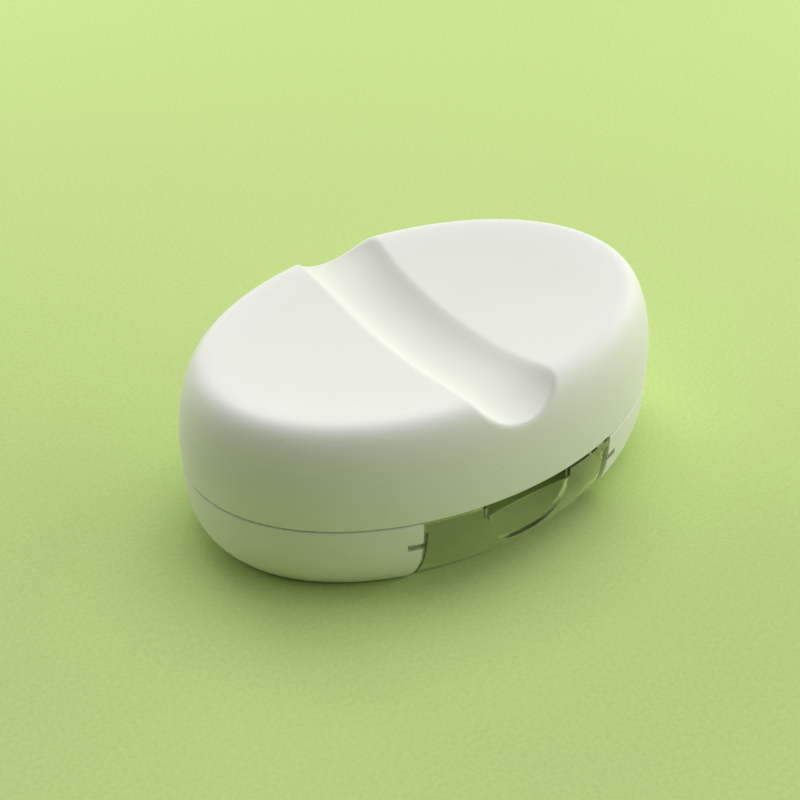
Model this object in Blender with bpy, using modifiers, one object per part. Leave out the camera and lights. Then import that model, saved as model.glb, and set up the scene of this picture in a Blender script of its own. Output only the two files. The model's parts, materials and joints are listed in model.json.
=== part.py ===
"""Pill splitter: an oval white case with a hinged blade lid and a clear drawer.

Metres, +Z up. The long axis runs along X, the drawer opens towards -Y and the lid turns on a
pin at the +Y side. The origin is on the table, under the middle of the case.
"""

import math

import bmesh
import bpy
from mathutils import Matrix
from mathutils import Vector

# Case
LENGTH = 0.0900
WIDTH = 0.0616
BASE_HEIGHT = 0.0148
LID_HEIGHT = 0.0175
WALL = 0.0020
PART_GAP = 0.0003
WIDEST_RISE = 0.0036
UNDERSIDE_INSET = 0.0046
UNDERSIDE_POWER = 4.0
CREST_INSET = 0.0055
LID_SIDE_HANDLE = 0.0013
LID_TOP_HANDLE = 0.0037

# Dished top and score groove
DISH_DEPTH = 0.0034
DISH_SOFTNESS = 0.08
GROOVE_HALF_WIDTH = 0.0073
GROOVE_DEPTH = 0.0029
GROOVE_EXIT_DROP = 0.0034
GROOVE_ROUNDING = 0.0012

# Clearances
FIT = 0.0003
SEAT_GAP = 0.0002
ROUND_FIT = 0.0003

# Drawer and its bay
BAY_HALF_WIDTH = 0.0196
BAY_BACK_INSET = 0.0162
RAIL_DROP = 0.0049
RAIL_THICKNESS = 0.0008
RAIL_REACH = 0.0024
RAIL_BACKING = 0.0014
DRAWER_WALL = 0.0016
DRAWER_FRONT_WALL = 0.0020
DRAWER_FLOOR = 0.0014
NOTCH_HALF_WIDTH = 0.0087
NOTCH_DEPTH = 0.0016
NOTCH_FALL = 0.95
SCOOP_HALF_WIDTH = 0.0084
SCOOP_HALF_HEIGHT = 0.0086
SCOOP_DEPTH = 0.0022
SCOOP_CENTRE_DROP = 0.0022
SCOOP_BALL_DEPTH = 0.0080

# Deck and pill grips
DECK_THICKNESS = 0.0020
LIP_HEIGHT = 0.0012
LIP_WALL = 0.0012
SLOT_HALF_WIDTH = 0.0010
GRIP_FLOOR = 0.0008
GRIP_WALL = 0.0024
GRIP_LENGTH = 0.0190
GRIP_HALF_ANGLE = math.radians(35.0)
GRIP_HEADROOM = 0.0030
GRIP_TEETH = 9
GRIP_TOOTH_DEPTH = 0.0005
GRIP_TOOTH_SKEW = 0.6
PEG_PLACES = (0.25, 0.8)
PEG_RADIUS = 0.0008
PEG_LENGTH = 0.0014

# Hinge
PIN_RADIUS = 0.0010
KNUCKLE_RADIUS = 0.0022
KNUCKLE_HALF_WIDTH = 0.0050
HINGE_HALF_LENGTH = 0.0120
KNUCKLE_GAP = 0.0004
POCKET_CLEARANCE = 0.0005
POCKET_SWING = 0.0010

# Blade and its carrier
BLADE_FRONT_INSET = 0.0172
BLADE_THICKNESS = 0.0005
BLADE_BEVEL = 0.0016
BLADE_BITE = 0.0010
BLADE_SEAT = 0.0012
CARRIER_THICKNESS = 0.0021
CARRIER_HALF_WIDTH = 0.0140
CARRIER_MARGIN = 0.0020
CARRIER_CORNER = 0.0030
LUG_LENGTH = 0.0056
LUG_THICKNESS = 0.0028
LUG_CLEARANCE = 0.0019
CLAMP_THICKNESS = 0.0012

# Fasteners and feet
SCREW_RADIUS = 0.0010
SCREW_HEAD_RADIUS = 0.0019
SCREW_HEAD_HEIGHT = 0.0011
SCREW_HEAD_CURVE = ((0.55, 0.93), (0.9, 0.6), (1.0, 0.15))
CARRIER_SCREW_EDGE = 0.0035
CARRIER_SCREW_INSET = 0.0060
DECK_SCREW_Y = 0.0100
SCREW_DEPTH = 0.0050
POST_WALL = 0.0015
FOOT_RADIUS = 0.0035
FOOT_PROUD = 0.0003
FOOT_DEPTH = 0.0010
FRONT_FOOT_Y = -0.0080
REAR_FOOT_X = 0.0140

# Mesh counts
FAN_STEPS = 8
COLUMN_SHARES = (1.4, 1.2, 1.07, 0.95, 0.8, 0.55, 0.28)
SIDE_SHARES = (0.2, 0.35, 0.45, 0.55, 0.64, 0.73, 0.82, 0.91, 1.0)
DISH_SHARES = (0.98, 0.95, 0.89, 0.78)
DISH_ROWS = 8
BASE_STEPS = 7
FRONT_STEPS = 14
BASE_CROWDING = 1.6
BALL_SEGMENTS = 40
BALL_RINGS = 24
ROUND_SIDES = 20
SMALL_SIDES = 14
CORNER_SEGMENTS = 4
GROOVE_LIMIT = 0.98
CRISP_ANGLE = math.radians(32.0)
OVERSHOOT = 0.0050
MERGE = 0.00001

# Places worked out from the sizes above
HALF_LENGTH = LENGTH / 2
HALF_WIDTH = WIDTH / 2
HEIGHT = BASE_HEIGHT + LID_HEIGHT
PART_LINE_Z = BASE_HEIGHT
WIDEST_Z = PART_LINE_Z + WIDEST_RISE
CREST_RISE = HEIGHT - WIDEST_Z
BASE_TOP_Z = PART_LINE_Z - PART_GAP / 2
LID_LOW_Z = PART_LINE_Z + PART_GAP / 2
FLOOR_TOP_Z = FOOT_PROUD + WALL
DECK_TOP_Z = BASE_TOP_Z
DECK_LOW_Z = DECK_TOP_Z - DECK_THICKNESS
DECK_SEAT_Z = DECK_LOW_Z - SEAT_GAP
DECK_INSET = WALL + FIT
BAY_BACK_Y = HALF_WIDTH - BAY_BACK_INSET
BAY_OUTER_X = BAY_HALF_WIDTH + RAIL_REACH + RAIL_BACKING
RAIL_Z = PART_LINE_Z - RAIL_DROP
HINGE_Y = HALF_WIDTH - KNUCKLE_RADIUS
HINGE_Z = PART_LINE_Z
POCKET_HALF_WIDTH = HINGE_HALF_LENGTH + KNUCKLE_GAP
RELIEF_Y = HINGE_Y - FIT
RELIEF_HALF_WIDTH = HALF_LENGTH * math.sqrt(1.0 - (RELIEF_Y / HALF_WIDTH) ** 2)
POCKET_Y = HINGE_Y - KNUCKLE_RADIUS - POCKET_CLEARANCE
POCKET_HALF_HEIGHT = KNUCKLE_RADIUS + POCKET_SWING
POCKET_INNER_Y = POCKET_Y - WALL
CARRIER_TOP_Z = HEIGHT - DISH_DEPTH - GROOVE_DEPTH - WALL - FIT
CARRIER_LOW_Z = CARRIER_TOP_Z - CARRIER_THICKNESS
BLADE_BACK_Y = POCKET_INNER_Y - CARRIER_MARGIN - LIP_WALL - FIT
BLADE_FRONT_Y = -HALF_WIDTH + BLADE_FRONT_INSET
BLADE_TOP_Z = CARRIER_LOW_Z + BLADE_SEAT
BLADE_EDGE_Z = DECK_TOP_Z - BLADE_BITE
LUG_LOW_Z = DECK_TOP_Z + LUG_CLEARANCE
BLADE_SCREW_Z = (LUG_LOW_Z + CARRIER_LOW_Z) / 2
BLADE_SCREW_YS = (BLADE_FRONT_Y + LUG_LENGTH / 2, BLADE_BACK_Y - LUG_LENGTH / 2)
GRIP_LOW_Z = DECK_TOP_Z + SEAT_GAP
GRIP_TOP_Z = CARRIER_LOW_Z - GRIP_HEADROOM
GRIP_BACK_Y = BLADE_BACK_Y - LUG_LENGTH - CARRIER_MARGIN
DRAWER_HALF_WIDTH = BAY_HALF_WIDTH - FIT
DRAWER_BACK_Y = BAY_BACK_Y - 2 * FIT
DRAWER_LOW_Z = FOOT_PROUD + FIT
DRAWER_TOP_Z = BASE_TOP_Z - FIT / 2
DRAWER_SIDE_Z = DECK_LOW_Z - 2 * FIT
SCOOP_BACK_Y = -HALF_WIDTH + SCOOP_DEPTH + DRAWER_WALL
SCREW_HOLE = SCREW_RADIUS + ROUND_FIT

# Colours: red, green, blue
WHITE_PLASTIC = (0.86, 0.86, 0.83)
INNER_WHITE = (0.80, 0.80, 0.78)
CLEAR_PLASTIC = (0.86, 0.89, 0.88)
SOFT_GREY = (0.42, 0.45, 0.44)
FOOT_GREY = (0.20, 0.20, 0.20)
STEEL = (0.62, 0.63, 0.64)


def clear_scene():
    for found in list(bpy.data.objects):
        bpy.data.objects.remove(found, do_unlink=True)


def collection(name):
    made = bpy.data.collections.new(name)
    bpy.context.scene.collection.children.link(made)
    return made


def finish(name, colour, roughness, metallic=0.0, transmission=0.0):
    material = bpy.data.materials.new(name)
    material.use_nodes = True
    shader = material.node_tree.nodes["Principled BSDF"]
    shader.inputs["Base Color"].default_value = (*colour, 1.0)
    shader.inputs["Roughness"].default_value = roughness
    shader.inputs["Metallic"].default_value = metallic
    shader.inputs["Transmission Weight"].default_value = transmission
    return material


clear_scene()
PARTS = collection("pill_splitter")
CUTTERS = collection("cutters")
FINISHES = {
    "white": finish("white_plastic", WHITE_PLASTIC, roughness=0.45),
    "inner": finish("inner_plastic", INNER_WHITE, roughness=0.50),
    "clear": finish("clear_plastic", CLEAR_PLASTIC, roughness=0.08, transmission=0.9),
    "soft": finish("soft_grip", SOFT_GREY, roughness=0.80),
    "foot": finish("foot_rubber", FOOT_GREY, roughness=0.85),
    "steel": finish("steel", STEEL, roughness=0.28, metallic=1.0),
}


# Builders of simple shapes

def from_bmesh(name, bm):
    mesh = bpy.data.meshes.new(name)
    bm.to_mesh(mesh)
    bm.free()
    return bpy.data.objects.new(name, mesh)


def crisp_edges():
    """A modifier tree that shades faces smooth and leaves edges over an angle sharp."""
    tree = bpy.data.node_groups.new("crisp_edges", "GeometryNodeTree")
    tree.interface.new_socket("Geometry", in_out="INPUT", socket_type="NodeSocketGeometry")
    tree.interface.new_socket("Geometry", in_out="OUTPUT", socket_type="NodeSocketGeometry")
    start = tree.nodes.new("NodeGroupInput")
    end = tree.nodes.new("NodeGroupOutput")
    angle = tree.nodes.new("GeometryNodeInputMeshEdgeAngle")
    over = tree.nodes.new("FunctionNodeCompare")
    over.operation = "GREATER_THAN"
    over.inputs["B"].default_value = CRISP_ANGLE
    smooth = tree.nodes.new("GeometryNodeSetShadeSmooth")
    sharp = tree.nodes.new("GeometryNodeSetShadeSmooth")
    sharp.domain = "EDGE"
    sharp.inputs["Shade Smooth"].default_value = False
    tree.links.new(start.outputs["Geometry"], smooth.inputs["Geometry"])
    tree.links.new(smooth.outputs["Geometry"], sharp.inputs["Geometry"])
    tree.links.new(angle.outputs["Unsigned Angle"], over.inputs["A"])
    tree.links.new(over.outputs["Result"], sharp.inputs["Selection"])
    tree.links.new(sharp.outputs["Geometry"], end.inputs["Geometry"])
    return tree


def shade(tree):
    """Puts the shading last on every sub-part, after its cuts and joins."""
    for made in PARTS.objects:
        if made.type == "MESH":
            made.modifiers.new("crisp edges", "NODES").node_group = tree


def part(made, material):
    """Keeps an object as one sub-part."""
    made.data.materials.append(FINISHES[material])
    PARTS.objects.link(made)
    return made


def helper(made):
    """Keeps an object as a cutter or as a form to be joined to a sub-part."""
    made.hide_render = True
    made.display_type = "WIRE"
    CUTTERS.objects.link(made)
    return made


def combine(target, other, operation="DIFFERENCE"):
    modifier = target.modifiers.new(f"{operation.lower()} {other.name}", "BOOLEAN")
    modifier.operation = operation
    modifier.solver = "EXACT"
    modifier.object = other


def cut(target, *cutters):
    for cutter in cutters:
        combine(target, cutter)


def join(target, *others):
    for other in others:
        combine(target, other, "UNION")


def box(name, low, high):
    bm = bmesh.new()
    bmesh.ops.create_cube(bm, size=1.0)
    low = Vector(low)
    high = Vector(high)
    bmesh.ops.scale(bm, vec=high - low, verts=bm.verts)
    bmesh.ops.translate(bm, vec=(low + high) / 2, verts=bm.verts)
    return from_bmesh(name, bm)


def rod(name, start, end, radius, sides=ROUND_SIDES):
    """A cylinder between two points."""
    start = Vector(start)
    end = Vector(end)
    run = end - start
    bm = bmesh.new()
    bmesh.ops.create_cone(
        bm, cap_ends=True, segments=sides, radius1=radius, radius2=radius, depth=run.length
    )
    turn = Vector((0, 0, 1)).rotation_difference(run).to_matrix().to_4x4()
    bmesh.ops.transform(bm, matrix=Matrix.Translation((start + end) / 2) @ turn, verts=bm.verts)
    return from_bmesh(name, bm)


def hole(name, start, end, radius, sides=SMALL_SIDES):
    """A cutter whose flats, not its corners, stand at the radius."""
    return helper(rod(name, start, end, radius / math.cos(math.pi / sides), sides))


def plate(name, outline, low_z, high_z):
    """A flat outline made thick: a filled curve turned into a mesh."""
    curve = bpy.data.curves.new(name, "CURVE")
    curve.dimensions = "2D"
    curve.fill_mode = "BOTH"
    curve.extrude = (high_z - low_z) / 2
    spline = curve.splines.new("POLY")
    spline.points.add(len(outline) - 1)
    for point, place in zip(spline.points, outline):
        point.co = (place[0], place[1], 0.0, 1.0)
    spline.use_cyclic_u = True
    drawn = bpy.data.objects.new(name + "_curve", curve)
    CUTTERS.objects.link(drawn)
    graph = bpy.context.evaluated_depsgraph_get()
    mesh = bpy.data.meshes.new_from_object(drawn.evaluated_get(graph))
    bpy.data.objects.remove(drawn, do_unlink=True)
    bm = bmesh.new()
    bm.from_mesh(mesh)
    bpy.data.meshes.remove(mesh)
    bmesh.ops.remove_doubles(bm, verts=bm.verts, dist=MERGE)
    bmesh.ops.translate(bm, vec=(0, 0, (low_z + high_z) / 2), verts=bm.verts)
    bmesh.ops.recalc_face_normals(bm, faces=bm.faces)
    return from_bmesh(name, bm)


def turned(name, profile, place, turn):
    """A profile of (radius, height) points, outer side from top to bottom, spun about its axis."""
    mesh = bpy.data.meshes.new(name)
    points = [(radius, 0.0, height) for radius, height in profile]
    mesh.from_pydata(points, [(i, i + 1) for i in range(len(points) - 1)], [])
    made = bpy.data.objects.new(name, mesh)
    spin = made.modifiers.new("spin", "SCREW")
    spin.steps = SMALL_SIDES
    spin.render_steps = SMALL_SIDES
    spin.use_merge_vertices = True
    spin.merge_threshold = MERGE
    made.location = place
    made.rotation_euler = turn
    return made


def round_corners(made, radius):
    """Bevels the upright edges of a box."""
    bm = bmesh.new()
    bm.from_mesh(made.data)
    edges = []
    for edge in bm.edges:
        run = edge.verts[1].co - edge.verts[0].co
        if abs(run.z) > abs(run.x) + abs(run.y):
            edges.append(edge)
    bmesh.ops.bevel(
        bm, geom=edges, offset=radius, segments=CORNER_SEGMENTS, affect="EDGES", profile=0.5
    )
    bm.to_mesh(made.data)
    bm.free()
    return made


# Oval case surfaces

def smooth_min(first, second, reach):
    """The lower of two heights, rounded where they come within reach of each other."""
    near = max(reach - abs(first - second), 0.0) / reach
    return min(first, second) - near * near * reach / 4


def wall_inset(z):
    """How far the outside stands in from the widest outline at a height below it."""
    return UNDERSIDE_INSET * ((WIDEST_Z - z) / WIDEST_Z) ** UNDERSIDE_POWER


def lid_side(share, wall):
    """Inset and height along the curve from the lid's widest line to its crest."""
    left = 1.0 - share
    middle = 3 * left * share * share
    rise = 3 * left * left * share * LID_SIDE_HANDLE / CREST_RISE + middle + share ** 3
    run = middle * (1.0 - LID_TOP_HANDLE / CREST_INSET) + share ** 3
    return wall + (CREST_INSET - wall) * run, WIDEST_Z + (CREST_RISE - wall) * rise


def ring_angles(semi_x):
    """Angles of the back half of a ring. The middle ones stand on fixed lines along the groove."""
    columns = [share * GROOVE_HALF_WIDTH for share in COLUMN_SHARES]
    columns = columns + [0.0] + [-x for x in reversed(columns)]
    edge = math.acos(columns[0] / semi_x)
    fan = [edge * step / FAN_STEPS for step in range(FAN_STEPS)]
    middle = [math.acos(x / semi_x) for x in columns]
    return fan + middle + [math.pi - angle for angle in reversed(fan)]


def ring(semi_x, semi_y, height_at):
    """Points of one ellipse, anticlockwise from the right end."""
    angles = ring_angles(semi_x)
    angles = angles + [-angle for angle in reversed(angles[1:-1])]
    points = []
    for angle in angles:
        x = semi_x * math.cos(angle)
        y = semi_y * math.sin(angle)
        points.append(Vector((x, y, height_at(x, y))))
    return points


def level_ring(inset, z):
    return ring(HALF_LENGTH - inset, HALF_WIDTH - inset, lambda x, y: z)


def oval_x(inset, y):
    """Where an oval that stands in from the outline reaches along X."""
    return (HALF_LENGTH - inset) * math.sqrt(1.0 - (y / (HALF_WIDTH - inset)) ** 2)


def oval_y(inset, x):
    """Where an oval that stands in from the outline reaches along Y."""
    return (HALF_WIDTH - inset) * math.sqrt(1.0 - (x / (HALF_LENGTH - inset)) ** 2)


def dish_height(x, y, wall):
    """The bowl of the lid's top, level at its crest."""
    across = (x / (HALF_LENGTH - CREST_INSET)) ** 2
    along = (y / (HALF_WIDTH - CREST_INSET)) ** 2
    inside = max(1.0 - across - along, 0.0)
    bowl = math.hypot(inside, DISH_SOFTNESS) - DISH_SOFTNESS
    full = math.hypot(1.0, DISH_SOFTNESS) - DISH_SOFTNESS
    return HEIGHT - wall - DISH_DEPTH * bowl / full


def groove_height(x, y, wall):
    """The round channel across the lid. It follows the dish and leaves level over the rim."""
    radius = (GROOVE_HALF_WIDTH ** 2 + GROOVE_DEPTH ** 2) / (2 * GROOVE_DEPTH) + wall
    if abs(x) > GROOVE_LIMIT * radius:
        return HEIGHT + OVERSHOOT
    rise = DISH_DEPTH * (y / (HALF_WIDTH - CREST_INSET)) ** 2
    inner = HEIGHT - DISH_DEPTH - GROOVE_DEPTH + rise
    floor = smooth_min(inner, HEIGHT - GROOVE_EXIT_DROP, GROOVE_ROUNDING)
    return floor - wall + radius - math.sqrt(radius * radius - x * x)


def grooved(x, y, z, wall):
    return smooth_min(z, groove_height(x, y, wall), GROOVE_ROUNDING)


def loft(name, rings, top_height=None):
    """A closed solid through level rings. Its top is flat, or a field of columns at a height."""
    bm = bmesh.new()
    loops = [[bm.verts.new(point) for point in points] for points in rings]
    count = len(loops[0])
    for low, high in zip(loops, loops[1:]):
        for i in range(count):
            j = (i + 1) % count
            bm.faces.new((low[i], low[j], high[j], high[i]))
    bm.faces.new(list(reversed(loops[0])))
    if top_height is None:
        bm.faces.new(loops[-1])
    else:
        fill_columns(bm, loops[-1], top_height)
    return from_bmesh(name, bm)


def fill_columns(bm, rim, top_height):
    """Spans a rim from front to back with columns of faces that stand on the groove's lines."""
    last = len(rim) // 2
    columns = []
    for i in range(1, last):
        front = rim[len(rim) - i]
        back = rim[i]
        column = [front]
        for row in range(1, DISH_ROWS + 1):
            point = front.co.lerp(back.co, row / (DISH_ROWS + 1))
            point.z = top_height(point.x, point.y)
            column.append(bm.verts.new(point))
        columns.append(column + [back])
    for right, left in zip(columns, columns[1:]):
        for row in range(DISH_ROWS + 1):
            bm.faces.new((right[row], right[row + 1], left[row + 1], left[row]))
    for row in range(DISH_ROWS + 1):
        bm.faces.new((rim[0], columns[0][row + 1], columns[0][row]))
        bm.faces.new((rim[last], columns[-1][row], columns[-1][row + 1]))


def lid_solid(name, wall, low_z):
    """The lid's outside, or its inside where a wall is given."""
    def over(inset, z):
        return ring(
            HALF_LENGTH - inset, HALF_WIDTH - inset, lambda x, y: grooved(x, y, z, wall)
        )

    def top(x, y):
        return grooved(x, y, dish_height(x, y, wall), wall)

    rings = [over(wall + wall_inset(LID_LOW_Z), low_z), over(wall, WIDEST_Z)]
    rings += [over(*lid_side(share, wall)) for share in SIDE_SHARES]
    for share in DISH_SHARES:
        semi_x = (HALF_LENGTH - CREST_INSET) * share
        semi_y = (HALF_WIDTH - CREST_INSET) * share
        rings.append(ring(semi_x, semi_y, top))
    return loft(name, rings, top)


def base_solid(name, wall, low_z, high_z, steps=BASE_STEPS):
    """The base's outside, or its inside where a wall is given."""
    rings = []
    for step in range(steps + 1):
        share = (step / steps) ** BASE_CROWDING
        z = low_z + (min(high_z, BASE_TOP_Z) - low_z) * share
        rings.append(level_ring(wall + wall_inset(z), z))
    if high_z > BASE_TOP_Z:
        rings.append(level_ring(wall + wall_inset(BASE_TOP_Z), high_z))
    return loft(name, rings)


# Hinge forms shared by the base and the lid

def hinge_block(name, low_z, high_z):
    """The thick corner round the hinge pocket, left standing inside a shell."""
    reach = RELIEF_HALF_WIDTH + WALL
    return helper(box(name, (-reach, POCKET_INNER_Y, low_z), (reach, WIDTH, high_z)))


def hinge_pocket(name, low_z, high_z):
    """Room for the knuckles, and a shallow relief where the wall stands behind the hinge axis."""
    low = (-POCKET_HALF_WIDTH, POCKET_Y, low_z)
    pocket = box(name, low, (POCKET_HALF_WIDTH, WIDTH, high_z))
    low = (-HALF_LENGTH, RELIEF_Y, low_z)
    join(pocket, helper(box(name + "_relief", low, (HALF_LENGTH, WIDTH, high_z))))
    return helper(pocket)


def knuckle(name, left_x, right_x, low_z, high_z):
    """A barrel on the hinge axis with the web that carries it."""
    web_y = (POCKET_INNER_Y + POCKET_Y) / 2
    web = box(name, (left_x, web_y, low_z), (right_x, HINGE_Y, high_z))
    barrel = rod(
        name + "_barrel", (left_x, HINGE_Y, HINGE_Z), (right_x, HINGE_Y, HINGE_Z), KNUCKLE_RADIUS
    )
    join(web, helper(barrel))
    return helper(web)


def pin_bore(name):
    reach = HINGE_HALF_LENGTH + OVERSHOOT
    return hole(name, (-reach, HINGE_Y, HINGE_Z), (reach, HINGE_Y, HINGE_Z), PIN_RADIUS + ROUND_FIT)


def hinge_pin():
    reach = HINGE_HALF_LENGTH - KNUCKLE_GAP
    part(rod("hinge_pin", (-reach, HINGE_Y, HINGE_Z), (reach, HINGE_Y, HINGE_Z), PIN_RADIUS), "steel")


# Places of fasteners and feet

def deck_screw_places():
    """Midway between the drawer bay and the wall."""
    x = (BAY_OUTER_X + oval_x(WALL, DECK_SCREW_Y)) / 2
    return [(x, DECK_SCREW_Y), (x, -DECK_SCREW_Y), (-x, DECK_SCREW_Y), (-x, -DECK_SCREW_Y)]


def carrier_screw_places():
    ys = (BLADE_FRONT_Y + CARRIER_SCREW_INSET, BLADE_BACK_Y - CARRIER_SCREW_INSET)
    x = CARRIER_HALF_WIDTH - CARRIER_SCREW_EDGE
    return [(x, ys[0]), (x, ys[1]), (-x, ys[0]), (-x, ys[1])]


def foot_places():
    """Midway between the drawer bay and the edge of the flat underside."""
    edge = wall_inset(FOOT_PROUD)
    front_x = (BAY_OUTER_X + oval_x(edge, FRONT_FOOT_Y)) / 2
    rear_y = (BAY_BACK_Y + WALL + oval_y(edge, REAR_FOOT_X)) / 2
    return [
        (front_x, FRONT_FOOT_Y),
        (-front_x, FRONT_FOOT_Y),
        (REAR_FOOT_X, rear_y),
        (-REAR_FOOT_X, rear_y),
    ]


# Base

def base_cavity():
    """The hollow of the base, less the bay walls, the screw posts and the hinge corner."""
    cavity = base_solid("base_cavity", WALL, FLOOR_TOP_Z, BASE_TOP_Z + OVERSHOOT)
    low = (-BAY_OUTER_X, -WIDTH, 0.0)
    high = (BAY_OUTER_X, BAY_BACK_Y + WALL, DECK_SEAT_Z)
    cut(cavity, helper(box("bay_walls", low, high)))
    low_z = HINGE_Z - POCKET_HALF_HEIGHT - WALL
    cut(cavity, hinge_block("base_hinge_block", low_z, BASE_TOP_Z + 2 * OVERSHOOT))
    for i, (x, y) in enumerate(deck_screw_places()):
        post = rod(f"deck_post_{i + 1}", (x, y, 0.0), (x, y, DECK_SEAT_Z), SCREW_HOLE + POST_WALL)
        cut(cavity, helper(post))
    return helper(cavity)


def base_shell():
    shell = part(base_solid("base_shell", 0.0, FOOT_PROUD, BASE_TOP_Z), "white")
    cut(shell, base_cavity())
    low = (-BAY_HALF_WIDTH, -WIDTH, -OVERSHOOT)
    high = (BAY_HALF_WIDTH, BAY_BACK_Y, BASE_TOP_Z + OVERSHOOT)
    cut(shell, helper(box("drawer_bay", low, high)))
    slot_x = BAY_HALF_WIDTH + RAIL_REACH
    slot_half = RAIL_THICKNESS / 2 + FIT
    low = (-slot_x, -WIDTH, RAIL_Z - slot_half)
    high = (slot_x, BAY_BACK_Y - FIT, RAIL_Z + slot_half)
    cut(shell, helper(box("rail_slots", low, high)))
    pocket_z = HINGE_Z - POCKET_HALF_HEIGHT
    cut(shell, hinge_pocket("base_hinge_pocket", pocket_z, BASE_TOP_Z + OVERSHOOT))
    for side, sign in (("right", 1), ("left", -1)):
        near = sign * (KNUCKLE_HALF_WIDTH + KNUCKLE_GAP)
        far = sign * HINGE_HALF_LENGTH
        web_low = pocket_z - WALL / 2
        left_x = min(near, far)
        right_x = max(near, far)
        join(shell, knuckle(f"base_knuckle_{side}", left_x, right_x, web_low, BASE_TOP_Z))
    cut(shell, pin_bore("base_pin_bore"))
    for i, (x, y) in enumerate(deck_screw_places()):
        low = (x, y, DECK_LOW_Z - SCREW_DEPTH)
        cut(shell, hole(f"deck_pilot_{i + 1}", low, (x, y, HEIGHT), SCREW_HOLE))
    for i, (x, y) in enumerate(foot_places()):
        top = (x, y, FOOT_DEPTH + SEAT_GAP)
        cut(shell, hole(f"foot_recess_{i + 1}", (x, y, -OVERSHOOT), top, FOOT_RADIUS + FIT))


def feet():
    chamfer = FOOT_PROUD
    for i, (x, y) in enumerate(foot_places()):
        profile = [
            (0.0, FOOT_DEPTH),
            (FOOT_RADIUS, FOOT_DEPTH),
            (FOOT_RADIUS, chamfer),
            (FOOT_RADIUS - chamfer, 0.0),
            (0.0, 0.0),
        ]
        part(turned(f"foot_{i + 1}", profile, (x, y, 0.0), (0, 0, 0)), "foot")


def deck():
    """The plate over the drawer, with a locating lip, a blade slot and sunk screw seats.

    Its front edge is cut back over the drawer's scoop, where a nail goes in, and the blade slot
    runs out at its rear edge, where the blade swings in from the hinge."""
    rings = [level_ring(DECK_INSET, DECK_LOW_Z), level_ring(DECK_INSET, DECK_TOP_Z + LIP_HEIGHT)]
    made = part(loft("deck", rings), "inner")
    inside = DECK_INSET + LIP_WALL
    hollow = [level_ring(inside, DECK_TOP_Z), level_ring(inside, DECK_TOP_Z + OVERSHOOT)]
    cut(made, helper(loft("deck_hollow", hollow)))
    reach = RELIEF_HALF_WIDTH + WALL + FIT
    low = (-reach, POCKET_INNER_Y - FIT, 0.0)
    cut(made, helper(box("deck_hinge_relief", low, (reach, WIDTH, HEIGHT))))
    reach = NOTCH_HALF_WIDTH + FIT
    high = (reach, SCOOP_BACK_Y + 2 * FIT, HEIGHT)
    cut(made, helper(box("deck_nail_relief", (-reach, -WIDTH, 0.0), high)))
    low = (-SLOT_HALF_WIDTH, BLADE_FRONT_Y - FIT, 0.0)
    cut(made, helper(box("blade_slot", low, (SLOT_HALF_WIDTH, WIDTH, HEIGHT))))
    for i, (x, y) in enumerate(deck_screw_places()):
        seat_z = DECK_TOP_Z - SCREW_HEAD_HEIGHT - SEAT_GAP
        cut(made, hole(f"deck_hole_{i + 1}", (x, y, 0.0), (x, y, HEIGHT), SCREW_HOLE))
        head = SCREW_HEAD_RADIUS + ROUND_FIT
        cut(made, hole(f"deck_seat_{i + 1}", (x, y, seat_z), (x, y, HEIGHT), head))
    for side, sign in (("right", 1), ("left", -1)):
        for i, (x, y) in enumerate(peg_places(sign)):
            low = (x, y, GRIP_LOW_Z - PEG_LENGTH - SEAT_GAP)
            cut(made, hole(f"peg_hole_{side}_{i + 1}", low, (x, y, HEIGHT), PEG_RADIUS + ROUND_FIT))


# Pill grips

def grip_frame(sign):
    """Back corner, run and outward direction of one arm of the V."""
    back = Vector((sign * (SLOT_HALF_WIDTH + FIT), GRIP_BACK_Y - GRIP_WALL))
    run = Vector((sign * math.sin(GRIP_HALF_ANGLE), -math.cos(GRIP_HALF_ANGLE)))
    out = Vector((sign * math.cos(GRIP_HALF_ANGLE), math.sin(GRIP_HALF_ANGLE)))
    return back, run, out


def peg_places(sign):
    back, run, out = grip_frame(sign)
    return [back + run * (share * GRIP_LENGTH) + out * (GRIP_WALL / 2) for share in PEG_PLACES]


def pill_grip(side, sign):
    """One arm of the soft V: a thin floor, a toothed wall and two pegs."""
    back, run, out = grip_frame(sign)
    end = back + run * GRIP_LENGTH
    edge_x = sign * (SLOT_HALF_WIDTH + FIT)
    corner = back + out * GRIP_WALL
    outer = [end + out * GRIP_WALL, corner, Vector((edge_x, corner.y))]
    floor = [Vector((edge_x, end.y)), end] + outer
    made = part(plate(f"pill_grip_{side}", floor, GRIP_LOW_Z, GRIP_LOW_Z + GRIP_FLOOR), "soft")
    face = [back]
    for tooth in range(GRIP_TEETH):
        root = back + run * (GRIP_LENGTH * (tooth + GRIP_TOOTH_SKEW) / GRIP_TEETH)
        face.append(root + out * GRIP_TOOTH_DEPTH)
        face.append(back + run * (GRIP_LENGTH * (tooth + 1) / GRIP_TEETH))
    wall = plate(f"grip_wall_{side}", face + outer, GRIP_LOW_Z + GRIP_FLOOR / 2, GRIP_TOP_Z)
    join(made, helper(wall))
    for i, (x, y) in enumerate(peg_places(sign)):
        low = (x, y, GRIP_LOW_Z - PEG_LENGTH)
        peg = rod(f"peg_{side}_{i + 1}", low, (x, y, GRIP_LOW_Z + GRIP_FLOOR), PEG_RADIUS, SMALL_SIDES)
        join(made, helper(peg))


# Drawer

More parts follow.
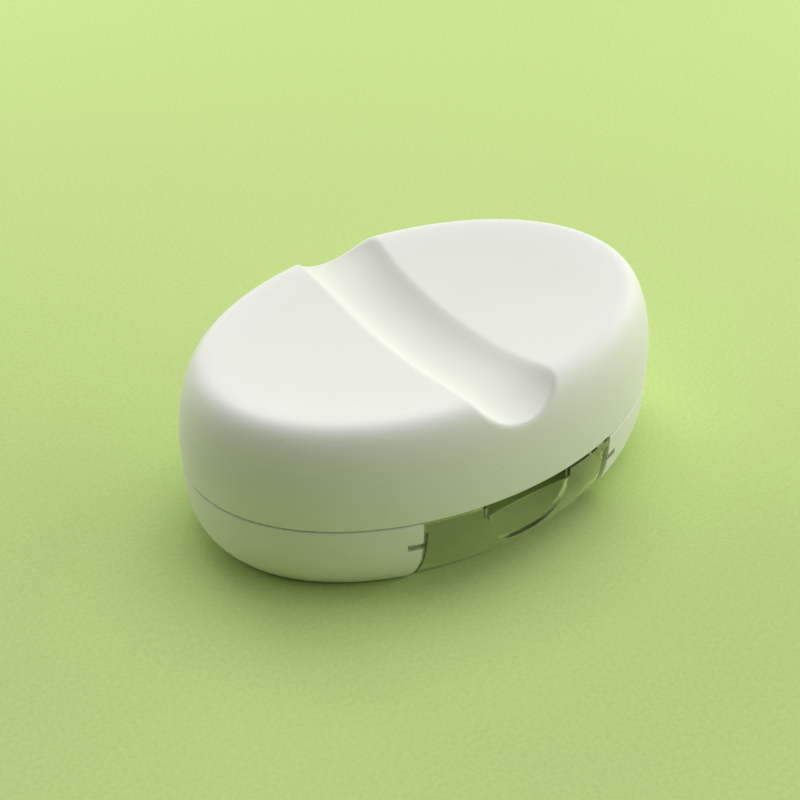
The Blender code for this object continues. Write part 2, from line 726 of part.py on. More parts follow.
def scoop_form(name, grow):
    """The thumb scoop: a ball stretched so that it meets the front in a round outline."""
    centre_z = PART_LINE_Z - SCOOP_CENTRE_DROP
    deepest = -HALF_WIDTH + SCOOP_DEPTH
    semi_y = SCOOP_BALL_DEPTH
    centre_y = deepest - semi_y

    def semi(reach, surface_y):
        depth = (surface_y - centre_y) / semi_y
        return reach / math.sqrt(1.0 - depth * depth)

    side_y = -oval_y(0.0, SCOOP_HALF_WIDTH)
    low_y = -HALF_WIDTH + wall_inset(centre_z - SCOOP_HALF_HEIGHT)
    low_y = min(low_y, deepest - SCOOP_DEPTH / 4)
    semi_x = semi(SCOOP_HALF_WIDTH, side_y)
    semi_z = semi(SCOOP_HALF_HEIGHT, low_y)
    bm = bmesh.new()
    bmesh.ops.create_uvsphere(bm, u_segments=BALL_SEGMENTS, v_segments=BALL_RINGS, radius=1.0)
    bmesh.ops.scale(bm, vec=(semi_x + grow, semi_y + grow, semi_z + grow), verts=bm.verts)
    bmesh.ops.translate(bm, vec=(0.0, centre_y, centre_z), verts=bm.verts)
    return helper(from_bmesh(name, bm))


def drawer_body():
    """The block that the drawer is cut from: the base's oval between the bay's sides, with rails."""
    body = base_solid("drawer", 0.0, DRAWER_LOW_Z, DRAWER_TOP_Z, FRONT_STEPS)
    low = (-DRAWER_HALF_WIDTH, -WIDTH, -OVERSHOOT)
    high = (DRAWER_HALF_WIDTH, DRAWER_BACK_Y, HEIGHT)
    keep = helper(box("drawer_block", low, high))
    rail_x = BAY_HALF_WIDTH + RAIL_REACH - FIT
    low = (-rail_x, -HALF_WIDTH + WALL, RAIL_Z - RAIL_THICKNESS / 2)
    high = (rail_x, DRAWER_BACK_Y - DRAWER_WALL, RAIL_Z + RAIL_THICKNESS / 2)
    join(keep, helper(box("drawer_rails", low, high)))
    combine(body, keep, "INTERSECT")
    return body


def drawer_well():
    """The tray's hollow, wide above the low sides and kept off the back of the scoop."""
    well = base_solid("drawer_well", DRAWER_FRONT_WALL, DRAWER_LOW_Z + DRAWER_FLOOR, HEIGHT)
    reach = DRAWER_HALF_WIDTH - DRAWER_WALL
    low = (-reach, -WIDTH, -OVERSHOOT)
    high = (reach, DRAWER_BACK_Y - DRAWER_WALL, 2 * HEIGHT)
    room = box("well_room", low, high)
    over = box("over_sides", (-LENGTH, -WIDTH, DRAWER_SIDE_Z), (LENGTH, WIDTH, 2 * HEIGHT))
    join(room, helper(over))
    combine(well, helper(room), "INTERSECT")
    cut(well, scoop_form("scoop_back", DRAWER_WALL))
    return helper(well)


def nail_notch():
    """The cut for a nail at the top of the scoop. Its floor falls inwards from the front."""
    low_z = DRAWER_TOP_Z - NOTCH_DEPTH
    front_y = -oval_y(0.0, NOTCH_HALF_WIDTH)
    low = (-NOTCH_HALF_WIDTH, -HALF_WIDTH - WALL, low_z)
    made = box("nail_notch", low, (NOTCH_HALF_WIDTH, SCOOP_BACK_Y + FIT, HEIGHT))
    for vertex in made.data.vertices:
        if vertex.co.z < HEIGHT - MERGE:
            vertex.co.z -= NOTCH_FALL * (vertex.co.y - front_y)
    return helper(made)


def drawer():
    """The clear tray with a thumb scoop and a nail notch in its front."""
    made = part(drawer_body(), "clear")
    cut(made, drawer_well())
    cut(made, scoop_form("scoop", 0.0))
    cut(made, nail_notch())
    return made


# Lid

def lid_cavity():
    """The hollow of the lid, less the hinge corner and the carrier's posts."""
    cavity = lid_solid("lid_cavity", WALL, LID_LOW_Z - OVERSHOOT)
    cut(cavity, hinge_block("lid_hinge_block", 0.0, HINGE_Z + POCKET_HALF_HEIGHT + WALL))
    for i, (x, y) in enumerate(carrier_screw_places()):
        low = (x, y, CARRIER_TOP_Z + SEAT_GAP)
        post = rod(f"carrier_post_{i + 1}", low, (x, y, HEIGHT), SCREW_HOLE + POST_WALL)
        cut(cavity, helper(post))
    return helper(cavity)


def lid_shell():
    shell = part(lid_solid("lid_shell", 0.0, LID_LOW_Z), "white")
    cut(shell, lid_cavity())
    pocket_z = HINGE_Z + POCKET_HALF_HEIGHT
    cut(shell, hinge_pocket("lid_hinge_pocket", 0.0, pocket_z))
    web_high = pocket_z + WALL / 2
    join(shell, knuckle("lid_knuckle", -KNUCKLE_HALF_WIDTH, KNUCKLE_HALF_WIDTH, LID_LOW_Z, web_high))
    cut(shell, pin_bore("lid_pin_bore"))
    for i, (x, y) in enumerate(carrier_screw_places()):
        tip = (x, y, CARRIER_LOW_Z + SCREW_DEPTH)
        cut(shell, hole(f"carrier_pilot_{i + 1}", (x, y, 0.0), tip, SCREW_HOLE))
    return shell


def lug_box(name, y, low_x, high_x, low_z, high_z):
    half = LUG_LENGTH / 2
    return box(name, (low_x, y - half, low_z), (high_x, y + half, high_z))


def blade_carrier():
    """The plate on the lid's posts, with a lug at each end of the blade."""
    low = (-CARRIER_HALF_WIDTH, BLADE_FRONT_Y - CARRIER_MARGIN, CARRIER_LOW_Z)
    high = (CARRIER_HALF_WIDTH, BLADE_BACK_Y + CARRIER_MARGIN, CARRIER_TOP_Z)
    made = part(round_corners(box("blade_carrier", low, high), CARRIER_CORNER), "inner")
    lug_x = BLADE_THICKNESS / 2 + SEAT_GAP
    for end, y in zip(("front", "rear"), BLADE_SCREW_YS):
        high_z = (CARRIER_LOW_Z + CARRIER_TOP_Z) / 2
        lug = lug_box(f"lug_{end}", y, lug_x, lug_x + LUG_THICKNESS, LUG_LOW_Z, high_z)
        join(made, helper(lug))
    low = (-lug_x, BLADE_FRONT_Y - FIT, 0.0)
    high = (lug_x, BLADE_BACK_Y + FIT, BLADE_TOP_Z + SEAT_GAP)
    cut(made, helper(box("blade_seat", low, high)))
    for end, y in zip(("front", "rear"), BLADE_SCREW_YS):
        through = (LENGTH, y, BLADE_SCREW_Z)
        cut(made, hole(f"lug_hole_{end}", (0.0, y, BLADE_SCREW_Z), through, SCREW_HOLE))
    for i, (x, y) in enumerate(carrier_screw_places()):
        cut(made, hole(f"carrier_hole_{i + 1}", (x, y, 0.0), (x, y, HEIGHT), SCREW_HOLE))
    return made


def blade():
    """A flat blade with a ground edge and a hole at each end."""
    half = BLADE_THICKNESS / 2
    section = [
        (-half, BLADE_TOP_Z),
        (-half, BLADE_EDGE_Z + BLADE_BEVEL),
        (0.0, BLADE_EDGE_Z),
        (half, BLADE_EDGE_Z + BLADE_BEVEL),
        (half, BLADE_TOP_Z),
    ]
    bm = bmesh.new()
    face = bm.faces.new([bm.verts.new((x, BLADE_FRONT_Y, z)) for x, z in section])
    drawn = bmesh.ops.extrude_face_region(bm, geom=[face])["geom"]
    moved = [found for found in drawn if isinstance(found, bmesh.types.BMVert)]
    bmesh.ops.translate(bm, vec=(0.0, BLADE_BACK_Y - BLADE_FRONT_Y, 0.0), verts=moved)
    bmesh.ops.recalc_face_normals(bm, faces=bm.faces)
    made = part(from_bmesh("blade", bm), "steel")
    for end, y in zip(("front", "rear"), BLADE_SCREW_YS):
        start = (-LENGTH, y, BLADE_SCREW_Z)
        cut(made, hole(f"blade_hole_{end}", start, (LENGTH, y, BLADE_SCREW_Z), SCREW_HOLE))
    return made


def clamp_face_x():
    """Outer face of the blade clamps, where the blade screws' heads bear."""
    return -(BLADE_THICKNESS / 2 + SEAT_GAP + CLAMP_THICKNESS)


def blade_clamp(end, y):
    inner_x = -(BLADE_THICKNESS / 2 + SEAT_GAP)
    low_z = LUG_LOW_Z
    high_z = CARRIER_LOW_Z - SEAT_GAP
    made = part(lug_box(f"blade_clamp_{end}", y, clamp_face_x(), inner_x, low_z, high_z), "steel")
    start = (-LENGTH, y, BLADE_SCREW_Z)
    cut(made, hole(f"clamp_hole_{end}", start, (LENGTH, y, BLADE_SCREW_Z), SCREW_HOLE))
    return made


# Screws

def screw(name, place, turn, length):
    """A pan head screw: its head stands above its place and its shank runs down from it."""
    head = SCREW_HEAD_RADIUS
    top = SCREW_HEAD_HEIGHT
    profile = [(0.0, top)]
    profile += [(head * out, top * up) for out, up in SCREW_HEAD_CURVE]
    profile += [
        (head, 0.0),
        (SCREW_RADIUS, 0.0),
        (SCREW_RADIUS, -length + SCREW_RADIUS),
        (0.0, -length),
    ]
    return part(turned(name, profile, place, turn), "steel")


def deck_screws():
    seat_z = DECK_TOP_Z - SCREW_HEAD_HEIGHT
    length = seat_z - DECK_LOW_Z + SCREW_DEPTH - FIT
    for i, (x, y) in enumerate(deck_screw_places()):
        screw(f"deck_screw_{i + 1}", (x, y, seat_z), (0.0, 0.0, 0.0), length)


def carrier_screws():
    made = []
    for i, (x, y) in enumerate(carrier_screw_places()):
        place = (x, y, CARRIER_LOW_Z - SEAT_GAP)
        made.append(screw(f"carrier_screw_{i + 1}", place, (math.pi, 0.0, 0.0), SCREW_DEPTH - FIT))
    return made


def blade_screws():
    made = []
    length = -clamp_face_x() + BLADE_THICKNESS / 2 + LUG_THICKNESS
    for end, y in zip(("front", "rear"), BLADE_SCREW_YS):
        place = (clamp_face_x() - SEAT_GAP, y, BLADE_SCREW_Z)
        made.append(screw(f"blade_screw_{end}", place, (0.0, -math.pi / 2, 0.0), length))
    return made


# Moving bodies

def pivot(name, place, children):
    """An empty on a joint's axis that carries the pieces that move with it."""
    empty = bpy.data.objects.new(name, None)
    empty.location = place
    empty.empty_display_size = WALL
    PARTS.objects.link(empty)
    bpy.context.view_layer.update()
    for child in children:
        child.parent = empty
        child.matrix_parent_inverse = empty.matrix_world.inverted()


def build():
    base_shell()
    feet()
    deck()
    pill_grip("right", 1)
    pill_grip("left", -1)
    hinge_pin()
    deck_screws()
    lid = [lid_shell(), blade_carrier(), blade()]
    for end, y in zip(("front", "rear"), BLADE_SCREW_YS):
        lid.append(blade_clamp(end, y))
    lid += carrier_screws() + blade_screws()
    pivot("lid_pivot", (0.0, HINGE_Y, HINGE_Z), lid)
    pivot("drawer_runner", (0.0, 0.0, RAIL_Z), [drawer()])
    shade(crisp_edges())


build()
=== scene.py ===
"""Looks of the pill splitter: its finished shells, clear drawer, grips and blade, with their
materials, the light and the camera. Metres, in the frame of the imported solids."""

import json
import math

import bmesh
import bpy
from mathutils import Matrix, Vector


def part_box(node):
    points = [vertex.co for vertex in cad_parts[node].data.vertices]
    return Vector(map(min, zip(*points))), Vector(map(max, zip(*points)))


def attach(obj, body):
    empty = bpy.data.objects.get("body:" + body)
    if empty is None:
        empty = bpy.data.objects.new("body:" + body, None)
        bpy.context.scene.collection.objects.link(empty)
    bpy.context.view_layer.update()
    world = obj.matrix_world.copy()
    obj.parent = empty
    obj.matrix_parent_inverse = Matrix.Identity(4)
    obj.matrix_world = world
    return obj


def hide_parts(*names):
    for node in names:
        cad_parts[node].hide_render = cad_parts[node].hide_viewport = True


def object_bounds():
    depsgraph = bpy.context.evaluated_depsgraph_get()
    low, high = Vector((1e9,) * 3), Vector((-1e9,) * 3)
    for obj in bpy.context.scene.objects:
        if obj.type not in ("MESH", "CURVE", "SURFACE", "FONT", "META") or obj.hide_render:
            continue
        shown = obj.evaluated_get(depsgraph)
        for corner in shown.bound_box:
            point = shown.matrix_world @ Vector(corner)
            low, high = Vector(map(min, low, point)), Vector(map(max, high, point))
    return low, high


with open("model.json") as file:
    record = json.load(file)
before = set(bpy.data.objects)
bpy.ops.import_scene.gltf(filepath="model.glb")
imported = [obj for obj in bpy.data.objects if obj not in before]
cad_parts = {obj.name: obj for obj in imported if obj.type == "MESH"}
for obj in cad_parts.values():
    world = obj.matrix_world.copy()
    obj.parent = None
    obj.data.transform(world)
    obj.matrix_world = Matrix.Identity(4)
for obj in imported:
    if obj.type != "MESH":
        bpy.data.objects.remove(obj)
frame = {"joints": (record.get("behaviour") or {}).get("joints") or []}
CAD_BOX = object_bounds()

# Main sizes and the hinge, from the frame
HALF_LENGTH, HALF_WIDTH, HEIGHT = CAD_BOX[1]
LENGTH = 2 * HALF_LENGTH
WIDTH = 2 * HALF_WIDTH
HINGE = next(joint for joint in frame["joints"] if joint["name"] == "lid_hinge")
HINGE_Y = HINGE["pos_m"][1]
PART_LINE_Z = HINGE["pos_m"][2]

# Clearances and walls
WALL = 0.0020
PART_GAP = 0.0003
FIT = 0.0003
SEAT_GAP = 0.0002
BASE_TOP_Z = PART_LINE_Z - PART_GAP / 2
LID_LOW_Z = PART_LINE_Z + PART_GAP / 2

# Finish of the meshes
ROUND_SIDES = 48
EDGE_ROUNDING = 0.00018
EDGE_STEPS = 2
SHARP_ANGLE = math.radians(35.0)
OVERSHOOT = 0.0050
HAIR = 0.00005
MERGE = 0.00001

# Form of the lid: each size is an input of its node tree
LID_SIZES = {
    "Half Length": HALF_LENGTH,
    "Half Width": HALF_WIDTH,
    "Height": HEIGHT,
    "Low Edge": LID_LOW_Z,
    "Widest Line": PART_LINE_Z + 0.0036,
    "Underside Inset": 0.0046,
    "Crest Inset": 0.0058,
    "Side Handle": 0.0022,
    "Top Handle": 0.0050,
    "Dish Depth": 0.0034,
    "Dish Softness": 0.08,
    "Groove Centre": -0.0005,
    "Groove Half Width": 0.0068,
    "Groove Depth": 0.0031,
    "Groove Exit Drop": 0.0045,
    "Groove Rounding": 0.0010,
    "Rim Rounding": 0.0003,
    "Wall": WALL,
}
UNDERSIDE_POWER = 4.0
LID_COLUMNS = 181
LID_ROWS = 121
LID_CROWDING = 0.5
SIDE_STEPS = 36
RIM_FLAT_STEPS = 1
RIM_ROUND_STEPS = 4
LOW_SIDE_STEPS = 5

# Base and hinge
BASE_LOW_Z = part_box("base_shell")[0].z
FLOOR_TOP_Z = BASE_LOW_Z + WALL
BASE_RINGS = 26
RIM_RINGS = 4
OVAL_POINTS = 240
KNUCKLE_RADIUS = HALF_WIDTH - HINGE_Y
KNUCKLE_HALF_WIDTH = 0.0050
HINGE_HALF_LENGTH = 0.0120
KNUCKLE_GAP = 0.0004
POCKET_CLEARANCE = 0.0005
POCKET_SWING = 0.0010
POCKET_HALF_WIDTH = HINGE_HALF_LENGTH + KNUCKLE_GAP
POCKET_Y = HINGE_Y - KNUCKLE_RADIUS - POCKET_CLEARANCE
POCKET_HALF_HEIGHT = KNUCKLE_RADIUS + POCKET_SWING
POCKET_INNER_Y = POCKET_Y - WALL
RELIEF_Y = HINGE_Y - FIT
RELIEF_HALF_WIDTH = HALF_LENGTH * math.sqrt(1.0 - (RELIEF_Y / HALF_WIDTH) ** 2)

# Drawer
DRAWER_LOW, DRAWER_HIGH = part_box("drawer")
RAIL_REACH = 0.0024
RAIL_THICKNESS = 0.0008
RAIL_BACKING = 0.0014
RAIL_Z = PART_LINE_Z - 0.0049
DRAWER_HALF_WIDTH = DRAWER_HIGH.x - RAIL_REACH
BAY_HALF_WIDTH = DRAWER_HALF_WIDTH + FIT
BAY_OUTER_X = BAY_HALF_WIDTH + RAIL_REACH + RAIL_BACKING
BAY_BACK_Y = DRAWER_HIGH.y + 2 * FIT
DRAWER_WALL = 0.0016
TRAY_WALL = 0.0010
TRAY_FRONT_WALL = 0.0011
DRAWER_FLOOR = 0.0014
NOTCH_HALF_WIDTH = 0.0087
NOTCH_DEPTH = 0.0016
NOTCH_FALL = 0.95
SCOOP_HALF_WIDTH = 0.0084
SCOOP_HALF_HEIGHT = 0.0086
SCOOP_DEPTH = 0.0022
SCOOP_CENTRE_Z = PART_LINE_Z - 0.0022
SCOOP_BALL_DEPTH = 0.0080
SCOOP_BACK_Y = -HALF_WIDTH + SCOOP_DEPTH + DRAWER_WALL
SCOOP_SEGMENTS = 96
SCOOP_EDGE_ANGLE = math.radians(12.0)
DRAWER_ROUNDING = 0.0003
DRAWER_ROUNDING_STEPS = 3
SCOOP_RINGS = 64

# Deck, grips, carrier and blade
DECK_LOW, DECK_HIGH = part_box("deck")
DECK_INSET = HALF_LENGTH - DECK_HIGH.x
DECK_LOW_Z = DECK_LOW.z
LIP_WALL = 0.0012
SLOT_HALF_WIDTH = 0.0010
DECK_SEAT_Z = DECK_LOW_Z - SEAT_GAP
DRAWER_SIDE_Z = DECK_LOW_Z - 2 * FIT
GRIP_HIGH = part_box("pill_grip_right")[1]
GRIP_FLOOR = 0.0008
GRIP_WALL = 0.0024
GRIP_LENGTH = 0.0190
GRIP_HALF_ANGLE = math.radians(35.0)
GRIP_LOW_Z = BASE_TOP_Z + SEAT_GAP
GRIP_RIBS = 11
GRIP_RIB_DEPTH = 0.0005
GRIP_RIB_RADIUS = 0.0007
GRIP_RIB_SIDES = 24
GRIP_SIZES = {
    "Start X": 0.0,
    "Start Y": 0.0,
    "End X": 0.0,
    "End Y": 0.0,
    "Low": GRIP_LOW_Z + GRIP_FLOOR / 2,
    "High": GRIP_HIGH.z - EDGE_ROUNDING,
    "Rib Radius": GRIP_RIB_RADIUS,
}
BLADE_LOW, BLADE_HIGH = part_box("blade")
BLADE_BEVEL = 0.0016
CARRIER_LOW, CARRIER_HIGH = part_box("blade_carrier")
CARRIER_THICKNESS = 0.0021
CARRIER_CORNER = 0.0030
CARRIER_CORNER_STEPS = 10
ROUND_PROFILE = 0.5
CARRIER_LOW_Z = CARRIER_HIGH.z - CARRIER_THICKNESS
LUG_THICKNESS = 0.0028
POST_RADIUS = 0.0028

# Fasteners and feet: screws and feet come in fours, knuckles and grips in pairs
FOURS = range(1, 5)
ENDS = ("front", "rear")
SIDES = {"right": 1, "left": -1}
SCREW_HOLE = 0.0013
SCREW_HEAD_HEIGHT = 0.0011
SCREW_SIZES = {
    "Head Radius": 0.0019,
    "Head Height": SCREW_HEAD_HEIGHT,
    "Shank Radius": 0.0010,
    "Shank Length": 0.0047,
    "Recess Width": 0.00042,
    "Recess Length": 0.0021,
    "Recess Depth": 0.0006,
}
SCREW_SPIN = 2.4
SCREW_COLUMNS = 49
SCREW_ROWS = 21
SCREW_DOME_END = 0.5
SCREW_UNDER_END = 0.6
SCREW_SHANK_END = 0.9
SCREW_DOME_POWER = 0.55
FOOT_SIZES = {"Radius": 0.0035, "Height": 0.0010, "Rounding": 0.0003}
FOOT_ROWS = 21
FOOT_TOP_END = 0.2
FOOT_SIDE_END = 0.4
FOOT_BEND_END = 0.8

# Colours: red, green, blue
WHITE_PLASTIC = (0.86, 0.87, 0.80)
WHITE_DUST = (0.62, 0.60, 0.52)
# The crest's colour: clean where rubbed, and painted lighter and more neutral than the plastic as a painted
# highlight
WHITE_RUBBED_AND_HIGHLIGHT = (0.88, 0.88, 0.84)
INNER_WHITE = (0.80, 0.80, 0.78)
CLEAR_PLASTIC = (0.95, 0.97, 0.86)
CLEAR_SHADE = (0.95, 0.97, 0.93)
SOFT_GREY = (0.42, 0.45, 0.44)
SOFT_DUST = (0.58, 0.60, 0.58)
FOOT_GREY = (0.20, 0.20, 0.20)
STEEL = (0.62, 0.63, 0.64)
STEEL_DARK = (0.42, 0.43, 0.45)
FLOOR_GREEN = (0.575, 0.742, 0.277)
FLOOR_DEEP = (0.500, 0.655, 0.230)
BACKDROP_GREEN = (0.61, 0.78, 0.30)

# Clear plastic: it bends light little, so that the tray stays readable, and its skin mirrors as plastic does
CLEAR_IOR = 1.20
CLEAR_SKIN_IOR = 1.6
CLEAR_SKIN_ROUGHNESS = 0.03
CLEAR_SHARE = 0.985
CLEAR_ROUGHNESS = 0.02
CLEAR_PATCHES = 0.03
CLEAR_SPECKS = 0.3
CLEAR_WAVE = 0.04
CLEAR_WAVE_HEIGHT = 0.0002

# Marks of moulded pieces: the scale of each mark per metre, its detail and where it starts and ends
MARK_SCALES = ("Grain Scale", "Patch Scale", "Speck Scale")
PLASTIC_MARKS = dict(zip(MARK_SCALES, (2600.0, 90.0, 900.0)))
CLEAR_MARKS = dict(zip(MARK_SCALES, (1500.0, 120.0, 1100.0)))
RUBBER_MARKS = dict(zip(MARK_SCALES, (3000.0, 200.0, 1200.0)))
PAPER_MARKS = dict(zip(MARK_SCALES, (1300.0, 12.0, 300.0)))
NOISE_ROUGHNESS = 0.55
GRAIN_DETAIL = 2.0
PATCH_DETAIL = 4.0
PATCH_RANGE = (0.3, 0.7)
SPECK_DETAIL = 0.0
SPECK_RANGE = (0.86, 0.90)

# White plastic: gloss, roughness, and how far patches, specks, rubbing with the painted highlight on the
# crest, and grain show
WHITE_GLOSS = 0.25
CASE_ROUGHNESS = 0.52
CASE_GRAIN = 0.25
INNER_ROUGHNESS = 0.50
INNER_GRAIN = 0.4
PLASTIC_PATCHES = 0.05
PLASTIC_SPECKS = 0.3
PLASTIC_SHEEN = 0.08
PLASTIC_GRAIN_HEIGHT = 0.00004
# The crest band between these heights is rubbed glossier and painted lighter: a painted highlight besides
# the real rub
RUB_AND_HIGHLIGHT_LOW_Z = HEIGHT - 0.0012
RUB_AND_HIGHLIGHT_HIGH_Z = HEIGHT - 0.0002
RUB_AND_HIGHLIGHT_UNEVEN = 0.6
RUB_SHEEN = 0.06

# Steel: its lines per metre, across and along, and how far they show
GROUND_LINES = (6000.0, 60.0)
GROUND_ROUGHNESS = 0.22
PLAIN_LINES = (3000.0, 3000.0)
PLAIN_ROUGHNESS = 0.30
LINE_DETAIL = 3.0
LINE_ROUGHNESS = 0.6
LINE_SHEEN = 0.15
LINE_BUMP = 0.2
LINE_HEIGHT = 0.00002

# Rubber and the floor's paper
RUBBER_ROUGHNESS = 0.75
RUBBER_SHEEN = 0.1
RUBBER_PATCHES = 0.15
RUBBER_SPECKS = 0.5
RUBBER_GRAIN = 0.4
RUBBER_GRAIN_HEIGHT = 0.00005
PAPER_ROUGHNESS = 0.9
PAPER_GLOSS = 0.1
PAPER_TOOTH = 0.6
PAPER_TOOTH_RANGE = (0.3, 0.7)
PAPER_PATCHES = 0.1
PAPER_BUMP = 0.2
PAPER_BUMP_HEIGHT = 0.0001

# Camera
CAMERA_TARGET = (-0.00276, 0.00260, 0.01366)
CAMERA_AZIMUTH = math.radians(-35.40)
CAMERA_ELEVATION = math.radians(36.83)
CAMERA_DISTANCE = 0.2908
CAMERA_LENS = 74.24
CAMERA_SENSOR = 36.0

# Floor: half its size, where it gives way to the backdrop, and the rays that see the backdrop
FLOOR_HALF = 4.0
FLOOR_CLEAR_FROM = 0.28
FLOOR_CLEAR_TO = 0.60
SEEN_RAYS = ("Is Camera Ray", "Is Glossy Ray", "Is Transmission Ray")

# Studio: name, azimuth and elevation in degrees, distance, size and power of each soft lamp
STUDIO = (
    ("key", 135.0, 70.0, 0.95, 0.90, 4.67),
    ("top", 45.0, 70.0, 1.10, 1.60, 3.58),
    ("front", 45.0, 20.0, 0.95, 0.90, 2.56),
    ("right", 90.0, 20.0, 0.55, 0.35, 0.88),
    ("back", 180.0, 20.0, 0.55, 0.35, 0.85),
    ("left", 225.0, 20.0, 0.55, 0.35, 0.52),
)
WORLD_STRENGTH = 0.030


# Numbers in node trees

class Field:
    """A number in a node tree. Arithmetic on it adds Math nodes."""

    def __init__(self, tree, socket):
        self.tree = tree
        self.socket = socket

    def math(self, operation, *others):
        return calc(self.tree, operation, self, *others)

    def __add__(self, other):
        return self.math("ADD", other)

    def __sub__(self, other):
        return self.math("SUBTRACT", other)

    def __rsub__(self, other):
        return calc(self.tree, "SUBTRACT", other, self)

    def __mul__(self, other):
        return self.math("MULTIPLY", other)

    def __truediv__(self, other):
        return self.math("DIVIDE", other)

    def __rtruediv__(self, other):
        return calc(self.tree, "DIVIDE", other, self)

    def __pow__(self, other):
        return self.math("POWER", other)

    def __abs__(self):
        return self.math("ABSOLUTE")

    __radd__ = __add__
    __rmul__ = __mul__


def feed(tree, value, place):
    """Links a field or a socket into a place, or sets a plain value there."""
    if isinstance(value, Field):
        value = value.socket
    if isinstance(value, bpy.types.NodeSocket):
        tree.links.new(value, place)
    else:
        place.default_value = value


def calc(tree, operation, *values):
    """Adds a Math node and gives its result."""
    made = tree.nodes.new("ShaderNodeMath")
    made.operation = operation
    for place, value in zip(made.inputs, values):
        feed(tree, value, place)
    return Field(tree, made.outputs[0])


def root(value):
    """The square root of a number or a field."""
    return value.math("SQRT") if isinstance(value, Field) else math.sqrt(value)


def larger(value, other):
    """The larger of two, where the first may be a field."""
    return value.math("MAXIMUM", other) if isinstance(value, Field) else max(value, other)


def smaller(value, other):
    """The smaller of two, where the first may be a field."""
    return value.math("MINIMUM", other) if isinstance(value, Field) else min(value, other)


def ramp(value, low, high):
    """0 below the low end, 1 above the high end and straight between them."""
    return larger(smaller((value - low) / (high - low), 1.0), 0.0)


# Oval forms, for plain numbers and for fields

def smooth_min(first, second, reach):
    """The lower of two heights, rounded where they come within reach of each other."""
    near = larger(reach - abs(first - second), 0.0) / reach
    return smaller(first, second) - near * near * reach / 4.0


def under_inset(size, z):
    """How far the outside stands in from the widest outline at a height below it."""
    drop = (size["Widest Line"] - z) / size["Widest Line"]
    return size["Underside Inset"] * drop ** UNDERSIDE_POWER


def dish_height(size, x, y, wall):
    """The bowl of the lid's top, level at its crest."""
    across = x / (size["Half Length"] - size["Crest Inset"])
    along = y / (size["Half Width"] - size["Crest Inset"])
    inside = larger(1.0 - across * across - along * along, 0.0)
    soft = size["Dish Softness"]
    bowl = root(inside * inside + soft * soft) - soft
    full = root(soft * soft + 1.0) - soft
    return size["Height"] - wall - size["Dish Depth"] * bowl / full


def groove_height(size, x, y, wall):
    """The round channel across the lid. It follows the dish and leaves level over the rim."""
    half = size["Groove Half Width"]
    depth = size["Groove Depth"]
    across = x - size["Groove Centre"]
    radius = (half * half + depth * depth) / (depth * 2.0) + wall
    along = y / (size["Half Width"] - size["Crest Inset"])
    inner = size["Height"] - size["Dish Depth"] - depth + size["Dish Depth"] * along * along
    floor = smooth_min(inner, size["Height"] - size["Groove Exit Drop"], size["Groove Rounding"])
    return floor - wall + radius - root(larger(radius * radius - across * across, 0.0))


def lid_top(size, x, y, wall):
    """The top of the lid: the dish with the groove through it."""
    dish = dish_height(size, x, y, wall)
    return smooth_min(dish, groove_height(size, x, y, wall), size["Groove Rounding"])


def lid_profile(size, share, wall, side):
    """Inset and height of a skin, from the middle of the lid's lower rim (0) to its crest (1)."""
    flat_end = RIM_FLAT_STEPS / SIDE_STEPS
    round_end = flat_end + RIM_ROUND_STEPS / SIDE_STEPS
    low_end = round_end + LOW_SIDE_STEPS / SIDE_STEPS
    rounding = size["Rim Rounding"]
    bend = ramp(share, flat_end, round_end) * (math.pi / 2)
    low_z = size["Low Edge"] + rounding * (1.0 - bend.math("COSINE"))
    straight = size["Widest Line"] - size["Low Edge"] - rounding
    z = low_z + straight * ramp(share, round_end, low_end)
    rim = rounding * (1.0 - bend.math("SINE"))
    rim = rim + (size["Wall"] / 2.0 - rounding) * (1.0 - ramp(share, 0.0, flat_end))
    turn = ramp(share, low_end, 1.0)
    left = 1.0 - turn
    late = left * turn * turn * 3.0
    crest_rise = size["Height"] - size["Widest Line"]
    rise = left * left * turn * 3.0 * size["Side Handle"] / crest_rise + late + turn ** 3.0
    run = late * (1.0 - size["Top Handle"] / size["Crest Inset"]) + turn ** 3.0
    inset = under_inset(size, z) + rim * side + run * (size["Crest Inset"] - wall) + wall
    return inset, z + rise * (crest_rise - wall)


# Builders of simple shapes

def place_object(name, data):
    """Puts a mesh, lamp or camera into the scene."""
    made = bpy.data.objects.new(name, data)
    bpy.context.scene.collection.objects.link(made)
    return made


def from_bmesh(name, bm):
    """Turns a finished bmesh into an object."""
    mesh = bpy.data.meshes.new(name)
    bm.to_mesh(mesh)
    bm.free()
    return place_object(name, mesh)


def box(name, low, high):
    """A block between two corners."""
    bm = bmesh.new()
    bmesh.ops.create_cube(bm, size=1.0)
    low = Vector(low)
    high = Vector(high)
    bmesh.ops.scale(bm, vec=high - low, verts=bm.verts)
    bmesh.ops.translate(bm, vec=(low + high) / 2, verts=bm.verts)
    return from_bmesh(name, bm)


def rod(name, start, end, radius, sides=ROUND_SIDES):
    """A cylinder between two points."""
    start = Vector(start)
    end = Vector(end)
    run = end - start
    bm = bmesh.new()
    bmesh.ops.create_cone(
        bm, cap_ends=True, segments=sides, radius1=radius, radius2=radius, depth=run.length
    )
    turn = Vector((0, 0, 1)).rotation_difference(run).to_matrix().to_4x4()
    bmesh.ops.transform(bm, matrix=Matrix.Translation((start + end) / 2) @ turn, verts=bm.verts)
    return from_bmesh(name, bm)


def prism(name, outline, way):
    """A flat outline drawn out along a way."""
    bm = bmesh.new()
    face = bm.faces.new([bm.verts.new(point) for point in outline])
    drawn = bmesh.ops.extrude_face_region(bm, geom=[face])["geom"]
    moved = [found for found in drawn if isinstance(found, bmesh.types.BMVert)]
    bmesh.ops.translate(bm, vec=way, verts=moved)
    bmesh.ops.recalc_face_normals(bm, faces=bm.faces)
    return from_bmesh(name, bm)


